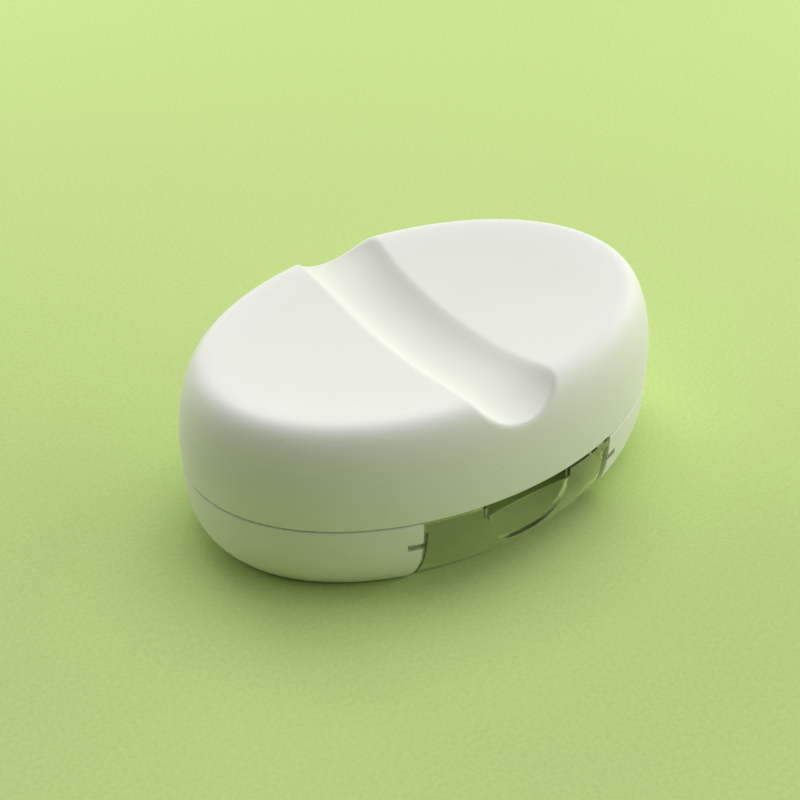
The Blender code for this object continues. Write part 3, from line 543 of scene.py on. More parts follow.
def oval_ring(inset, z):
    """Points of an ellipse that stands in from the widest outline, none of them on an axis."""
    points = []
    for step in range(OVAL_POINTS):
        angle = 2 * math.pi * (step + 0.5) / OVAL_POINTS
        x = (HALF_LENGTH - inset) * math.cos(angle)
        y = (HALF_WIDTH - inset) * math.sin(angle)
        points.append(Vector((x, y, z)))
    return points


def loft(name, rings):
    """A closed solid through rings, with flat ends."""
    bm = bmesh.new()
    loops = [[bm.verts.new(point) for point in points] for points in rings]
    count = len(loops[0])
    for low, high in zip(loops, loops[1:]):
        for i in range(count):
            j = (i + 1) % count
            bm.faces.new((low[i], low[j], high[j], high[i]))
    bm.faces.new(list(reversed(loops[0])))
    bm.faces.new(loops[-1])
    bmesh.ops.recalc_face_normals(bm, faces=bm.faces)
    return from_bmesh(name, bm)


def base_form(name, inset, low_z, high_z):
    """The base's outside, or a form that stands in from it, up to any height."""
    rings = []
    side_top = min(high_z, BASE_TOP_Z)
    for step in range(BASE_RINGS + 1):
        z = low_z + (side_top - low_z) * step / BASE_RINGS
        rings.append(oval_ring(inset + under_inset(LID_SIZES, z), z))
    if high_z > BASE_TOP_Z:
        rings.append(oval_ring(inset + under_inset(LID_SIZES, BASE_TOP_Z), high_z))
    return loft(name, rings)


# Cuts, joins and finished meshes

def combine(target, other, operation):
    """Cuts, joins or keeps what is shared with another form, when the target is settled."""
    modifier = target.modifiers.new(f"{operation.lower()} {other.name}", "BOOLEAN")
    modifier.operation = operation
    modifier.solver = "EXACT"
    modifier.object = other
    other.hide_render = True


def cut(target, cutter):
    """Takes a form away."""
    combine(target, cutter, "DIFFERENCE")


def join(target, other):
    """Adds a form."""
    combine(target, other, "UNION")


def keep_within(target, other):
    """Keeps only what lies inside a form."""
    combine(target, other, "INTERSECT")


def settle(made):
    """Turns an object's modifiers into a plain mesh and removes the forms that they used."""
    graph = bpy.context.evaluated_depsgraph_get()
    mesh = bpy.data.meshes.new_from_object(made.evaluated_get(graph))
    used = [m.object for m in made.modifiers if m.type == "BOOLEAN"]
    made.modifiers.clear()
    made.data = mesh
    mesh.name = made.name
    for other in used:
        bpy.data.objects.remove(other, do_unlink=True)
    return made


def soften(made, width=EDGE_ROUNDING, segments=EDGE_STEPS, angle=SHARP_ANGLE):
    """Rounds the sharp edges of a settled mesh."""
    bevel = made.modifiers.new("edges", "BEVEL")
    bevel.width = width
    bevel.segments = segments
    bevel.limit_method = "ANGLE"
    bevel.angle_limit = angle
    return settle(made)


def dress(made, material, body, slot, *nodes):
    """Gives a settled piece its shading, finish and body, and hides the CAD nodes that it stands for."""
    made.data.shade_smooth()
    made.data.set_sharp_from_angle(angle=SHARP_ANGLE)
    made.data.materials.clear()
    made.data.materials.append(material)
    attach(made, body)
    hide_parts(*nodes)
    return made


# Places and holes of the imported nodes

def four(name):
    """The names of four numbered nodes."""
    return [f"{name}_{i}" for i in FOURS]


def middle(node):
    """The middle of a node's box."""
    low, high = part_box(node)
    return (low + high) / 2


def upright(node, low_z, high_z, radius):
    """An upright rod on a node's axis."""
    spot = middle(node)
    return rod(f"{node}_rod", (spot.x, spot.y, low_z), (spot.x, spot.y, high_z), radius)


def blade_hole(end, left_x):
    """The hole for one of the blade's screws, from a place on its left."""
    spot = middle(f"blade_screw_{end}")
    return rod(f"blade_hole_{end}", (left_x, spot.y, spot.z), (LENGTH, spot.y, spot.z), SCREW_HOLE)


def seats(nodes, axis, sign, sink):
    """Places that lie below the outer end of each node, with the way that they face."""
    way = Vector()
    way[axis] = sign
    places = []
    for node in nodes:
        low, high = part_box(node)
        spot = (low + high) / 2
        outer = high if sign > 0 else low
        spot[axis] = outer[axis] - sign * sink
        places.append((spot, way))
    return places


# Geometry node trees

def geometry_tree(name, sizes):
    """A tree whose named inputs hold sizes, and those sizes as fields."""
    tree = bpy.data.node_groups.new(name, "GeometryNodeTree")
    tree.interface.new_socket("Geometry", in_out="INPUT", socket_type="NodeSocketGeometry")
    tree.interface.new_socket("Geometry", in_out="OUTPUT", socket_type="NodeSocketGeometry")
    for label in sizes:
        tree.interface.new_socket(label, in_out="INPUT", socket_type="NodeSocketFloat")
    start = tree.nodes.new("NodeGroupInput")
    return tree, start.outputs["Geometry"], {label: Field(tree, start.outputs[label]) for label in sizes}


def tree_node(tree, kind, links, **settings):
    """Adds a node, with values or sockets for its inputs by name or number, and gives its result."""
    made = tree.nodes.new(kind)
    for name, value in settings.items():
        setattr(made, name, value)
    for label, value in links.items():
        feed(tree, value, made.inputs[label])
    return made.outputs[0]


def end_tree(tree, geometry, material):
    """Closes a tree: seams merged, copies made real and the finish set."""
    links = {"Geometry": geometry, "Distance": MERGE}
    merged = tree_node(tree, "GeometryNodeMergeByDistance", links)
    real = tree_node(tree, "GeometryNodeRealizeInstances", {"Geometry": merged})
    links = {"Geometry": real, "Material": material}
    set_finish = tree_node(tree, "GeometryNodeSetMaterial", links)
    end = tree.nodes.new("NodeGroupOutput")
    tree.links.new(set_finish, end.inputs["Geometry"])
    return tree


def run_tree(made, tree, sizes):
    """Runs a tree on an object and keeps the result as its mesh."""
    modifier = made.modifiers.new("form", "NODES")
    modifier.node_group = tree
    for item in tree.interface.items_tree:
        if item.item_type == "SOCKET" and item.name in sizes:
            modifier[item.identifier] = sizes[item.name]
    return settle(made)


def grid_fields(tree):
    """Places on a grid that runs from -1 to 1 both ways."""
    place = tree_node(tree, "GeometryNodeInputPosition", {})
    split = tree.nodes.new("ShaderNodeSeparateXYZ")
    tree.links.new(place, split.inputs[0])
    return Field(tree, split.outputs["X"]), Field(tree, split.outputs["Y"])


def shaped_grid(tree, columns, rows, x, y, z):
    """A grid whose points are moved to worked-out places."""
    links = {"Size X": 2.0, "Size Y": 2.0, "Vertices X": columns, "Vertices Y": rows}
    grid = tree_node(tree, "GeometryNodeMeshGrid", links)
    place = tree_node(tree, "ShaderNodeCombineXYZ", {"X": x, "Y": y, "Z": z})
    return tree_node(tree, "GeometryNodeSetPosition", {"Geometry": grid, "Position": place})


# Lid

def lid_skin(tree, size, wall, side):
    """One skin of the lid: columns from the front rim, over the crest and dish, to the back rim."""
    column, row = grid_fields(tree)
    turn = column * (column * column * LID_CROWDING + (1.0 - LID_CROWDING)) * (math.pi / 2)
    up = 1.0 - abs(row)
    crest = 2.0 * SIDE_STEPS / (LID_ROWS - 1)
    inset, side_z = lid_profile(size, smaller(up / crest, 1.0), wall, side)
    inwards = 1.0 - ramp(up, crest, 1.0)
    x = (size["Half Length"] - inset) * turn.math("SINE")
    y = (size["Half Width"] - inset) * turn.math("COSINE") * row.math("SIGN") * inwards
    on_top = up.math("GREATER_THAN", crest)
    z = side_z + on_top * (dish_height(size, x, y, wall) - side_z)
    z = smooth_min(z, groove_height(size, x, y, wall), size["Groove Rounding"])
    return shaped_grid(tree, LID_COLUMNS, LID_ROWS, x, y, z)


def lid_tree(material):
    """The lid's outside and inside, which meet in the middle of its lower rim."""
    tree, _, size = geometry_tree("lid_skins", LID_SIZES)
    outside = lid_skin(tree, size, 0.0, 1.0)
    inside = lid_skin(tree, size, size["Wall"], -1.0)
    flipped = tree_node(tree, "GeometryNodeFlipFaces", {"Mesh": inside})
    both = tree.nodes.new("GeometryNodeJoinGeometry")
    for skin in (flipped, outside):
        tree.links.new(skin, both.inputs[0])
    return end_tree(tree, both.outputs[0], material)


def hinge_corner(name, low_z, high_z):
    """The thick corner round the hinge pocket, as far as the middle of the wall."""
    rings = []
    for z in (low_z, (low_z + high_z) / 2, high_z):
        inset = WALL / 2 + under_inset(LID_SIZES, min(z, LID_SIZES["Widest Line"]))
        rings.append(oval_ring(inset, z))
    corner = loft(name, rings)
    reach = RELIEF_HALF_WIDTH + WALL
    keep = box(name + "_block", (-reach, POCKET_INNER_Y, 0.0), (reach, WIDTH, HEIGHT))
    keep_within(corner, keep)
    return settle(corner)


def hinge_pocket(name, low_z, high_z):
    """Room for the knuckles, and a shallow relief where the wall stands behind the hinge axis."""
    pocket = box(name, (-POCKET_HALF_WIDTH, POCKET_Y, low_z), (POCKET_HALF_WIDTH, WIDTH, high_z))
    low = (-HALF_LENGTH, RELIEF_Y, low_z)
    join(pocket, box(name + "_relief", low, (HALF_LENGTH, WIDTH, high_z)))
    return settle(pocket)


def knuckle(name, left_x, right_x, low_z, high_z):
    """A barrel on the hinge axis with the web that carries it."""
    web_y = (POCKET_INNER_Y + POCKET_Y) / 2
    web = box(name, (left_x, web_y, low_z), (right_x, HINGE_Y, high_z))
    ends = [(x, HINGE_Y, PART_LINE_Z) for x in (left_x, right_x)]
    join(web, rod(name + "_barrel", ends[0], ends[1], KNUCKLE_RADIUS))
    return settle(web)


def pin_bore(name):
    """The bore for the hinge pin, through every knuckle."""
    low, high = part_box("hinge_pin")
    reach = HINGE_HALF_LENGTH + OVERSHOOT
    ends = [(x, HINGE_Y, PART_LINE_Z) for x in (-reach, reach)]
    return rod(name, ends[0], ends[1], (high.z - low.z) / 2 + FIT)


def lid_cover(material):
    """The lid: skins from its tree, with the hinge corner, knuckle and the carrier's posts."""
    cover = place_object("lid_cover", bpy.data.meshes.new("lid_cover"))
    run_tree(cover, lid_tree(material), LID_SIZES)
    pocket_z = PART_LINE_Z + POCKET_HALF_HEIGHT
    join(cover, hinge_corner("lid_corner", LID_LOW_Z + HAIR, pocket_z + WALL))
    for node in four("carrier_screw"):
        spot = middle(node)
        top = lid_top(LID_SIZES, spot.x, spot.y, WALL / 2)
        join(cover, upright(node, CARRIER_HIGH.z + SEAT_GAP, top, POST_RADIUS))
    cut(cover, hinge_pocket("lid_pocket", 0.0, pocket_z))
    half = KNUCKLE_HALF_WIDTH
    join(cover, knuckle("lid_knuckle", -half, half, LID_LOW_Z, pocket_z + WALL / 2))
    cut(cover, pin_bore("lid_bore"))
    for node in four("carrier_screw"):
        cut(cover, upright(node, 0.0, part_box(node)[1].z + FIT, SCREW_HOLE))
    settle(cover)
    return dress(cover, material, "lid", "white_plastic", "lid_shell")


# Base

def base_tub():
    """The base as an open tub with a rounded rim."""
    rounding = LID_SIZES["Rim Rounding"]
    rings = []
    for step in range(BASE_RINGS + 1):
        z = BASE_LOW_Z + (BASE_TOP_Z - rounding - BASE_LOW_Z) * step / BASE_RINGS
        rings.append(oval_ring(under_inset(LID_SIZES, z), z))
    edge = under_inset(LID_SIZES, BASE_TOP_Z)
    bends = [math.pi / 2 * step / RIM_RINGS for step in range(1, RIM_RINGS + 1)]
    for bend in bends:
        z = BASE_TOP_Z - rounding * (1.0 - math.sin(bend))
        rings.append(oval_ring(edge + rounding * (1.0 - math.cos(bend)), z))
    for bend in reversed(bends):
        z = BASE_TOP_Z - rounding * (1.0 - math.sin(bend))
        rings.append(oval_ring(edge + WALL - rounding * (1.0 - math.cos(bend)), z))
    for step in range(BASE_RINGS + 1):
        z = BASE_TOP_Z - rounding + (FLOOR_TOP_Z - BASE_TOP_Z + rounding) * step / BASE_RINGS
        rings.append(oval_ring(WALL + under_inset(LID_SIZES, z), z))
    return loft("base_case", rings)


def base_case(material):
    """The base: a tub with bay walls, screw posts, the hinge corner and its two knuckles."""
    case = base_tub()
    walls = base_form("bay_walls", WALL / 2, BASE_LOW_Z + WALL / 2, DECK_SEAT_Z)
    keep = box("bay_block", (-BAY_OUTER_X, -WIDTH, 0.0), (BAY_OUTER_X, BAY_BACK_Y + WALL, HEIGHT))
    keep_within(walls, keep)
    join(case, settle(walls))
    pocket_z = PART_LINE_Z - POCKET_HALF_HEIGHT
    join(case, hinge_corner("base_corner", pocket_z - WALL, BASE_TOP_Z - HAIR))
    for node in four("deck_screw"):
        join(case, upright(node, BASE_LOW_Z + WALL / 2, DECK_SEAT_Z, POST_RADIUS))
    high = (BAY_HALF_WIDTH, BAY_BACK_Y, HEIGHT)
    cut(case, box("drawer_bay", (-BAY_HALF_WIDTH, -WIDTH, -OVERSHOOT), high))
    slot_x = BAY_HALF_WIDTH + RAIL_REACH
    slot_half = RAIL_THICKNESS / 2 + FIT
    high = (slot_x, BAY_BACK_Y - FIT, RAIL_Z + slot_half)
    cut(case, box("rail_slots", (-slot_x, -WIDTH, RAIL_Z - slot_half), high))
    cut(case, hinge_pocket("base_pocket", pocket_z, HEIGHT))
    for side, sign in SIDES.items():
        ends = sorted((sign * (KNUCKLE_HALF_WIDTH + KNUCKLE_GAP), sign * HINGE_HALF_LENGTH))
        join(case, knuckle(f"knuckle_{side}", ends[0], ends[1], pocket_z - WALL / 2, BASE_TOP_Z))
    cut(case, pin_bore("base_bore"))
    for node in four("deck_screw"):
        cut(case, upright(node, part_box(node)[0].z - FIT, HEIGHT, SCREW_HOLE))
    for node in four("foot"):
        low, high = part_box(node)
        cut(case, upright(node, -OVERSHOOT, high.z + SEAT_GAP, (high.x - low.x) / 2 + FIT))
    settle(case)
    return dress(case, material, "base", "white_plastic", "base_shell")


# Drawer

def scoop_ball(name, grow):
    """The thumb scoop: a ball stretched so that it meets the front in a round outline."""
    deepest = -HALF_WIDTH + SCOOP_DEPTH
    centre_y = deepest - SCOOP_BALL_DEPTH

    def semi(reach, surface_y):
        depth = (surface_y - centre_y) / SCOOP_BALL_DEPTH
        return reach / math.sqrt(1.0 - depth * depth)

    side_y = -HALF_WIDTH * math.sqrt(1.0 - (SCOOP_HALF_WIDTH / HALF_LENGTH) ** 2)
    low_y = -HALF_WIDTH + under_inset(LID_SIZES, SCOOP_CENTRE_Z - SCOOP_HALF_HEIGHT)
    low_y = min(low_y, deepest - SCOOP_DEPTH / 4)
    semi_x = semi(SCOOP_HALF_WIDTH, side_y)
    semi_z = semi(SCOOP_HALF_HEIGHT, low_y)
    bm = bmesh.new()
    bmesh.ops.create_uvsphere(bm, u_segments=SCOOP_SEGMENTS, v_segments=SCOOP_RINGS, radius=1.0)
    bmesh.ops.rotate(bm, matrix=Matrix.Rotation(math.pi / 2, 3, "X"), verts=bm.verts)
    size = (semi_x + grow, SCOOP_BALL_DEPTH + grow, semi_z + grow)
    bmesh.ops.scale(bm, vec=size, verts=bm.verts)
    bmesh.ops.translate(bm, vec=(0.0, centre_y, SCOOP_CENTRE_Z), verts=bm.verts)
    return from_bmesh(name, bm)


def drawer_well():
    """The tray's hollow, wide above the low sides and kept off the back of the scoop."""
    well = base_form("drawer_well", TRAY_FRONT_WALL, DRAWER_LOW.z + DRAWER_FLOOR, HEIGHT)
    reach = DRAWER_HALF_WIDTH - TRAY_WALL
    high = (reach, DRAWER_HIGH.y - TRAY_WALL, 2 * HEIGHT)
    room = box("well_room", (-reach, -WIDTH, -OVERSHOOT), high)
    join(room, box("over_sides", (-LENGTH, -WIDTH, DRAWER_SIDE_Z), (LENGTH, WIDTH, 2 * HEIGHT)))
    keep_within(well, settle(room))
    cut(well, scoop_ball("scoop_back", TRAY_WALL))
    return settle(well)


def nail_notch():
    """The cut for a nail at the top of the scoop. Its floor falls inwards from the front."""
    low_z = DRAWER_HIGH.z - NOTCH_DEPTH
    front_y = -HALF_WIDTH * math.sqrt(1.0 - (NOTCH_HALF_WIDTH / HALF_LENGTH) ** 2)
    low = (-NOTCH_HALF_WIDTH, -HALF_WIDTH - WALL, low_z)
    made = box("nail_notch", low, (NOTCH_HALF_WIDTH, SCOOP_BACK_Y + FIT, HEIGHT))
    for vertex in made.data.vertices:
        if vertex.co.z < HEIGHT - MERGE:
            vertex.co.z -= NOTCH_FALL * (vertex.co.y - front_y)
    return made


def clear_drawer(material):
    """The clear tray with its rails, a thumb scoop and a nail notch in its front."""
    tray = base_form("clear_drawer", 0.0, DRAWER_LOW.z, DRAWER_HIGH.z)
    low = (-DRAWER_HALF_WIDTH, -WIDTH, -OVERSHOOT)
    keep = box("drawer_block", low, (DRAWER_HALF_WIDTH, DRAWER_HIGH.y, HEIGHT))
    low = (-DRAWER_HIGH.x, -HALF_WIDTH + WALL, RAIL_Z - RAIL_THICKNESS / 2)
    high = (DRAWER_HIGH.x, DRAWER_HIGH.y - DRAWER_WALL, RAIL_Z + RAIL_THICKNESS / 2)
    join(keep, box("drawer_rails", low, high))
    keep_within(tray, settle(keep))
    cut(tray, drawer_well())
    cut(tray, scoop_ball("scoop", 0.0))
    cut(tray, nail_notch())
    settle(tray)
    soften(tray, DRAWER_ROUNDING, DRAWER_ROUNDING_STEPS, SCOOP_EDGE_ANGLE)
    return dress(tray, material, "drawer", "clear_plastic", "drawer")


# Deck and grips

def deck_plate(material):
    """The plate over the drawer, with a lip, a blade slot, a nail relief and sunk screw seats."""
    plate = loft("deck_plate", [oval_ring(DECK_INSET, DECK_LOW_Z), oval_ring(DECK_INSET, DECK_HIGH.z)])
    inside = DECK_INSET + LIP_WALL
    cut(plate, loft("deck_hollow", [oval_ring(inside, BASE_TOP_Z), oval_ring(inside, HEIGHT)]))
    reach = RELIEF_HALF_WIDTH + WALL + FIT
    cut(plate, box("hinge_relief", (-reach, POCKET_INNER_Y - FIT, 0.0), (reach, WIDTH, HEIGHT)))
    reach = NOTCH_HALF_WIDTH + FIT
    cut(plate, box("nail_relief", (-reach, -WIDTH, 0.0), (reach, SCOOP_BACK_Y + 2 * FIT, HEIGHT)))
    low = (-SLOT_HALF_WIDTH, BLADE_LOW.y - FIT, 0.0)
    cut(plate, box("blade_slot", low, (SLOT_HALF_WIDTH, WIDTH, HEIGHT)))
    for node in four("deck_screw"):
        low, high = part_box(node)
        seat_z = high.z - SCREW_HEAD_HEIGHT - SEAT_GAP
        cut(plate, upright(node, seat_z, HEIGHT, (high.x - low.x) / 2 + FIT))
        cut(plate, upright(node, 0.0, HEIGHT, SCREW_HOLE))
    settle(plate)
    soften(plate)
    return dress(plate, material, "base", "inner_plastic", "deck")


def rib_tree(material):
    """Adds a row of upright half-round ribs along the face of a grip's wall."""
    tree, wall, size = geometry_tree("grip_ribs", GRIP_SIZES)
    middle_z = (size["Low"] + size["High"]) / 2.0
    ends = []
    for end in ("Start", "End"):
        links = {"X": size[f"{end} X"], "Y": size[f"{end} Y"], "Z": middle_z}
        ends.append(tree_node(tree, "ShaderNodeCombineXYZ", links))
    links = {"Count": GRIP_RIBS, "Start Location": ends[0], "Offset": ends[1]}
    line = tree_node(tree, "GeometryNodeMeshLine", links, mode="END_POINTS")
    length = size["High"] - size["Low"]
    links = {"Vertices": GRIP_RIB_SIDES, "Radius": size["Rib Radius"], "Depth": length}
    rib = tree_node(tree, "GeometryNodeMeshCylinder", links)
    ribs = tree_node(tree, "GeometryNodeInstanceOnPoints", {"Points": line, "Instance": rib})
    real = tree_node(tree, "GeometryNodeRealizeInstances", {"Geometry": ribs})
    union = tree.nodes.new("GeometryNodeMeshBoolean")
    union.operation = "UNION"
    union.solver = "EXACT"
    for part in (wall, real):
        tree.links.new(part, union.inputs["Mesh 2"])
    return end_tree(tree, union.outputs["Mesh"], material)


def pill_grip(side, sign, tree, material):
    """One arm of the soft V: a thin floor and a ribbed wall."""
    slope = math.sin(GRIP_HALF_ANGLE)
    fall = math.cos(GRIP_HALF_ANGLE)
    back = Vector((sign * (SLOT_HALF_WIDTH + FIT), GRIP_HIGH.y - GRIP_WALL * (1 + slope)))
    run = Vector((sign * slope, -fall))
    out = Vector((sign * fall, slope))
    end = back + run * GRIP_LENGTH
    corner = back + out * GRIP_WALL
    outer = [end + out * GRIP_WALL, corner, Vector((back.x, corner.y))]
    sole = [Vector((back.x, end.y)), end] + outer
    sole = [(x, y, GRIP_LOW_Z) for x, y in sole]
    made = prism(f"soft_grip_{side}", sole, (0.0, 0.0, GRIP_FLOOR))
    low_z = GRIP_LOW_Z + GRIP_FLOOR / 2
    face = [back + out * GRIP_RIB_DEPTH, end + out * GRIP_RIB_DEPTH] + outer
    face = [(x, y, low_z) for x, y in face]
    join(made, prism(f"grip_wall_{side}", face, (0.0, 0.0, GRIP_HIGH.z - low_z)))
    settle(made)
    soften(made)
    row = out * GRIP_RIB_RADIUS
    margin = run * GRIP_RIB_RADIUS
    sizes = dict(GRIP_SIZES)
    sizes["Start X"], sizes["Start Y"] = back + row + margin
    sizes["End X"], sizes["End Y"] = end + row - margin
    run_tree(made, tree, sizes)
    return dress(made, material, "base", "soft_grip", f"pill_grip_{side}")


# Blade and its carrier

def blade_carrier(material):
    """The plate on the lid's posts, with a lug at each end of the blade."""
    low = (CARRIER_LOW.x, CARRIER_LOW.y, CARRIER_LOW_Z)
    made = box("carrier_plate", low, CARRIER_HIGH)
    bm = bmesh.new()
    bm.from_mesh(made.data)
    corners = [edge for edge in bm.edges if abs(edge.verts[0].co.z - edge.verts[1].co.z) > MERGE]
    bmesh.ops.bevel(
        bm,
        geom=corners,
        offset=CARRIER_CORNER,
        segments=CARRIER_CORNER_STEPS,
        affect="EDGES",
        profile=ROUND_PROFILE,
    )
    bm.to_mesh(made.data)
    bm.free()
    seat_x = BLADE_HIGH.x + SEAT_GAP
    for end in ENDS:
        low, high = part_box(f"blade_clamp_{end}")
        far_corner = (seat_x + LUG_THICKNESS, high.y, CARRIER_HIGH.z - FIT)
        join(made, box(f"lug_{end}", (seat_x, low.y, low.z), far_corner))
    low = (-seat_x, BLADE_LOW.y - FIT, 0.0)
    cut(made, box("blade_seat", low, (seat_x, BLADE_HIGH.y + FIT, BLADE_HIGH.z + SEAT_GAP)))
    for end in ENDS:
        cut(made, blade_hole(end, 0.0))
    for node in four("carrier_screw"):
        cut(made, upright(node, 0.0, HEIGHT, SCREW_HOLE))
    settle(made)
    soften(made)
    return dress(made, material, "lid", "inner_plastic", "blade_carrier")


def ground_blade(material):
    """A flat blade with a ground edge and a hole at each end."""
    half = BLADE_HIGH.x
    low_z = BLADE_LOW.z
    section = [(-half, BLADE_HIGH.z), (-half, low_z + BLADE_BEVEL), (0.0, low_z)]
    section += [(half, low_z + BLADE_BEVEL), (half, BLADE_HIGH.z)]
    outline = [(x, BLADE_LOW.y, z) for x, z in section]
    made = prism("ground_blade", outline, (0.0, BLADE_HIGH.y - BLADE_LOW.y, 0.0))
    for end in ENDS:
        cut(made, blade_hole(end, -LENGTH))
    settle(made)
    return dress(made, material, "lid", "steel", "blade")


def blade_clamp(end, material):
    """The small plate that a screw presses onto one end of the blade."""
    made = box(f"clamp_{end}", *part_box(f"blade_clamp_{end}"))
    cut(made, blade_hole(end, -LENGTH))
    settle(made)
    soften(made)
    return dress(made, material, "lid", "steel", f"blade_clamp_{end}")


def hinge_pin(material):
    """The pin that holds the lid's knuckle between the base's two."""
    low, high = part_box("hinge_pin")
    spot = middle("hinge_pin")
    made = rod("round_pin", (low.x, spot.y, spot.z), (high.x, spot.y, spot.z), (high.z - low.z) / 2)
    soften(made)
    return dress(made, material, "base", "steel", "hinge_pin")


# Screws and feet, from trees that set a turned shape on each place

def turned_piece(tree, radius, z, columns, rows):
    """A closed turned shape, from its radius and height along the rows."""
    turn, _ = grid_fields(tree)
    angle = turn * math.pi
    x = radius * angle.math("COSINE")
    y = radius * angle.math("SINE")
    links = {"Geometry": shaped_grid(tree, columns, rows, x, y, z), "Distance": MERGE}
    merged = tree_node(tree, "GeometryNodeMergeByDistance", links)
    return tree_node(tree, "GeometryNodeFlipFaces", {"Mesh": merged})


def set_on_places(tree, places, piece):
    """Copies a piece onto each place, with its axis along the place's facing and a turn of its own."""
    facing = tree_node(tree, "GeometryNodeInputNamedAttribute", {"Name": "facing"}, data_type="FLOAT_VECTOR")
    stand = tree_node(tree, "FunctionNodeAlignRotationToVector", {"Vector": facing}, axis="Z")
    index = Field(tree, tree_node(tree, "GeometryNodeInputIndex", {}))
    spin = tree_node(tree, "FunctionNodeAxisAngleToRotation", {"Angle": index * SCREW_SPIN})
    links = {"Rotation": stand, "Rotate By": spin}
    turn = tree_node(tree, "FunctionNodeRotateRotation", links, rotation_space="LOCAL")
    links = {"Points": places, "Instance": piece, "Rotation": turn}
    return tree_node(tree, "GeometryNodeInstanceOnPoints", links)


def screw_tree(material):
    """A pan head screw with a cross recess."""
    tree, places, size = geometry_tree("cross_screws", SCREW_SIZES)
    _, row = grid_fields(tree)
    down = (row + 1.0) / 2.0
    dome = ramp(down, 0.0, SCREW_DOME_END) * (math.pi / 2)
    under = ramp(down, SCREW_DOME_END, SCREW_UNDER_END)
    shank = ramp(down, SCREW_UNDER_END, SCREW_SHANK_END)
    tip = ramp(down, SCREW_SHANK_END, 1.0)
    radius = size["Head Radius"] * dome.math("SINE") ** SCREW_DOME_POWER
    radius = radius - (size["Head Radius"] - size["Shank Radius"]) * under - size["Shank Radius"] * tip
    z = size["Head Height"] * larger(dome.math("COSINE"), 0.0) ** SCREW_DOME_POWER
    z = z - (size["Shank Length"] - size["Shank Radius"]) * shank - size["Shank Radius"] * tip
    body = turned_piece(tree, radius, z, SCREW_COLUMNS, SCREW_ROWS)
    recess = tree.nodes.new("GeometryNodeMeshBoolean")
    recess.operation = "DIFFERENCE"
    recess.solver = "EXACT"
    tree.links.new(body, recess.inputs["Mesh 1"])
    rise = tree_node(tree, "ShaderNodeCombineXYZ", {"Z": size["Head Height"]})
    for long_side, short_side in (("X", "Y"), ("Y", "X")):
        links = {long_side: size["Recess Length"], short_side: size["Recess Width"]}
        links["Z"] = size["Recess Depth"] * 2.0
        bar = tree_node(tree, "ShaderNodeCombineXYZ", links)
        cross = tree_node(tree, "GeometryNodeMeshCube", {"Size": bar})
        cross = tree_node(tree, "GeometryNodeTransform", {"Geometry": cross, "Translation": rise})
        tree.links.new(cross, recess.inputs["Mesh 2"])
    return end_tree(tree, set_on_places(tree, places, recess.outputs["Mesh"]), material)


def foot_tree(material):
    """A soft round foot with rounded edges."""
    tree, places, size = geometry_tree("rubber_feet", FOOT_SIZES)
    _, row = grid_fields(tree)
    down = (row + 1.0) / 2.0
    top = ramp(down, 0.0, FOOT_TOP_END)
    side = ramp(down, FOOT_TOP_END, FOOT_SIDE_END)
    bend = ramp(down, FOOT_SIDE_END, FOOT_BEND_END) * (math.pi / 2)
    flat = ramp(down, FOOT_BEND_END, 1.0)
    rounding = size["Rounding"]
    radius = size["Radius"] * top - rounding * (1.0 - bend.math("COSINE"))
    radius = radius - (size["Radius"] - rounding) * flat
    z = size["Height"] - (size["Height"] - rounding) * side - rounding * bend.math("SINE")
    body = turned_piece(tree, radius, z, ROUND_SIDES + 1, FOOT_ROWS)
    return end_tree(tree, set_on_places(tree, places, body), material)


def places_object(name, places):
    """Points for a tree, each with the way that its copy faces."""
    mesh = bpy.data.meshes.new(name)
    mesh.from_pydata([spot for spot, _ in places], [], [])
    facing = mesh.attributes.new("facing", "FLOAT_VECTOR", "POINT")
    for entry, (_, way) in zip(facing.data, places):
        entry.vector = way
    return place_object(name, mesh)


def screws(material):
    """The deck's screws, which face up, and those of the lid, which face down or left."""
    tree = screw_tree(material)
    deck_nodes = four("deck_screw")
    places = seats(deck_nodes, 2, 1, SCREW_HEAD_HEIGHT)
    deck_set = run_tree(places_object("deck_screws", places), tree, SCREW_SIZES)
    dress(deck_set, material, "base", "steel", *deck_nodes)
    plate_nodes = four("carrier_screw")
    blade_nodes = [f"blade_screw_{end}" for end in ENDS]
    places = seats(plate_nodes, 2, -1, SCREW_HEAD_HEIGHT)
    places += seats(blade_nodes, 0, -1, SCREW_HEAD_HEIGHT)
    lid_set = run_tree(places_object("lid_screws", places), tree, SCREW_SIZES)
    dress(lid_set, material, "lid", "steel", *plate_nodes, *blade_nodes)


def rubber_feet(material):
    """The four feet under the base."""
    nodes = four("foot")
    places = seats(nodes, 2, 1, FOOT_SIZES["Height"])
    feet = run_tree(places_object("rubber_feet_set", places), foot_tree(material), FOOT_SIZES)
    dress(feet, material, "base", "foot_rubber", *nodes)


# Shader groups

def shader_group(name, inputs, outputs):
    """A group with number inputs besides its coordinates, and number outputs."""
    tree = bpy.data.node_groups.new(name, "ShaderNodeTree")
    tree.interface.new_socket("Coordinates", in_out="INPUT", socket_type="NodeSocketVector")
    for label in inputs:
        tree.interface.new_socket(label, in_out="INPUT", socket_type="NodeSocketFloat")
    for label in outputs:
        tree.interface.new_socket(label, in_out="OUTPUT", socket_type="NodeSocketFloat")
    start = tree.nodes.new("NodeGroupInput")
    return tree, start.outputs["Coordinates"], {label: Field(tree, start.outputs[label]) for label in inputs}


def end_group(tree, results):
    """Closes a group with its named results."""
    end = tree.nodes.new("NodeGroupOutput")
    for label, value in results.items():
        feed(tree, value, end.inputs[label])
    return tree


def noise(tree, coordinates, scale, detail, roughness):
    """Smooth noise from 0 to 1."""
    links = {"Vector": coordinates, "Scale": scale, "Detail": detail, "Roughness": roughness}
    return Field(tree, tree_node(tree, "ShaderNodeTexNoise", links))


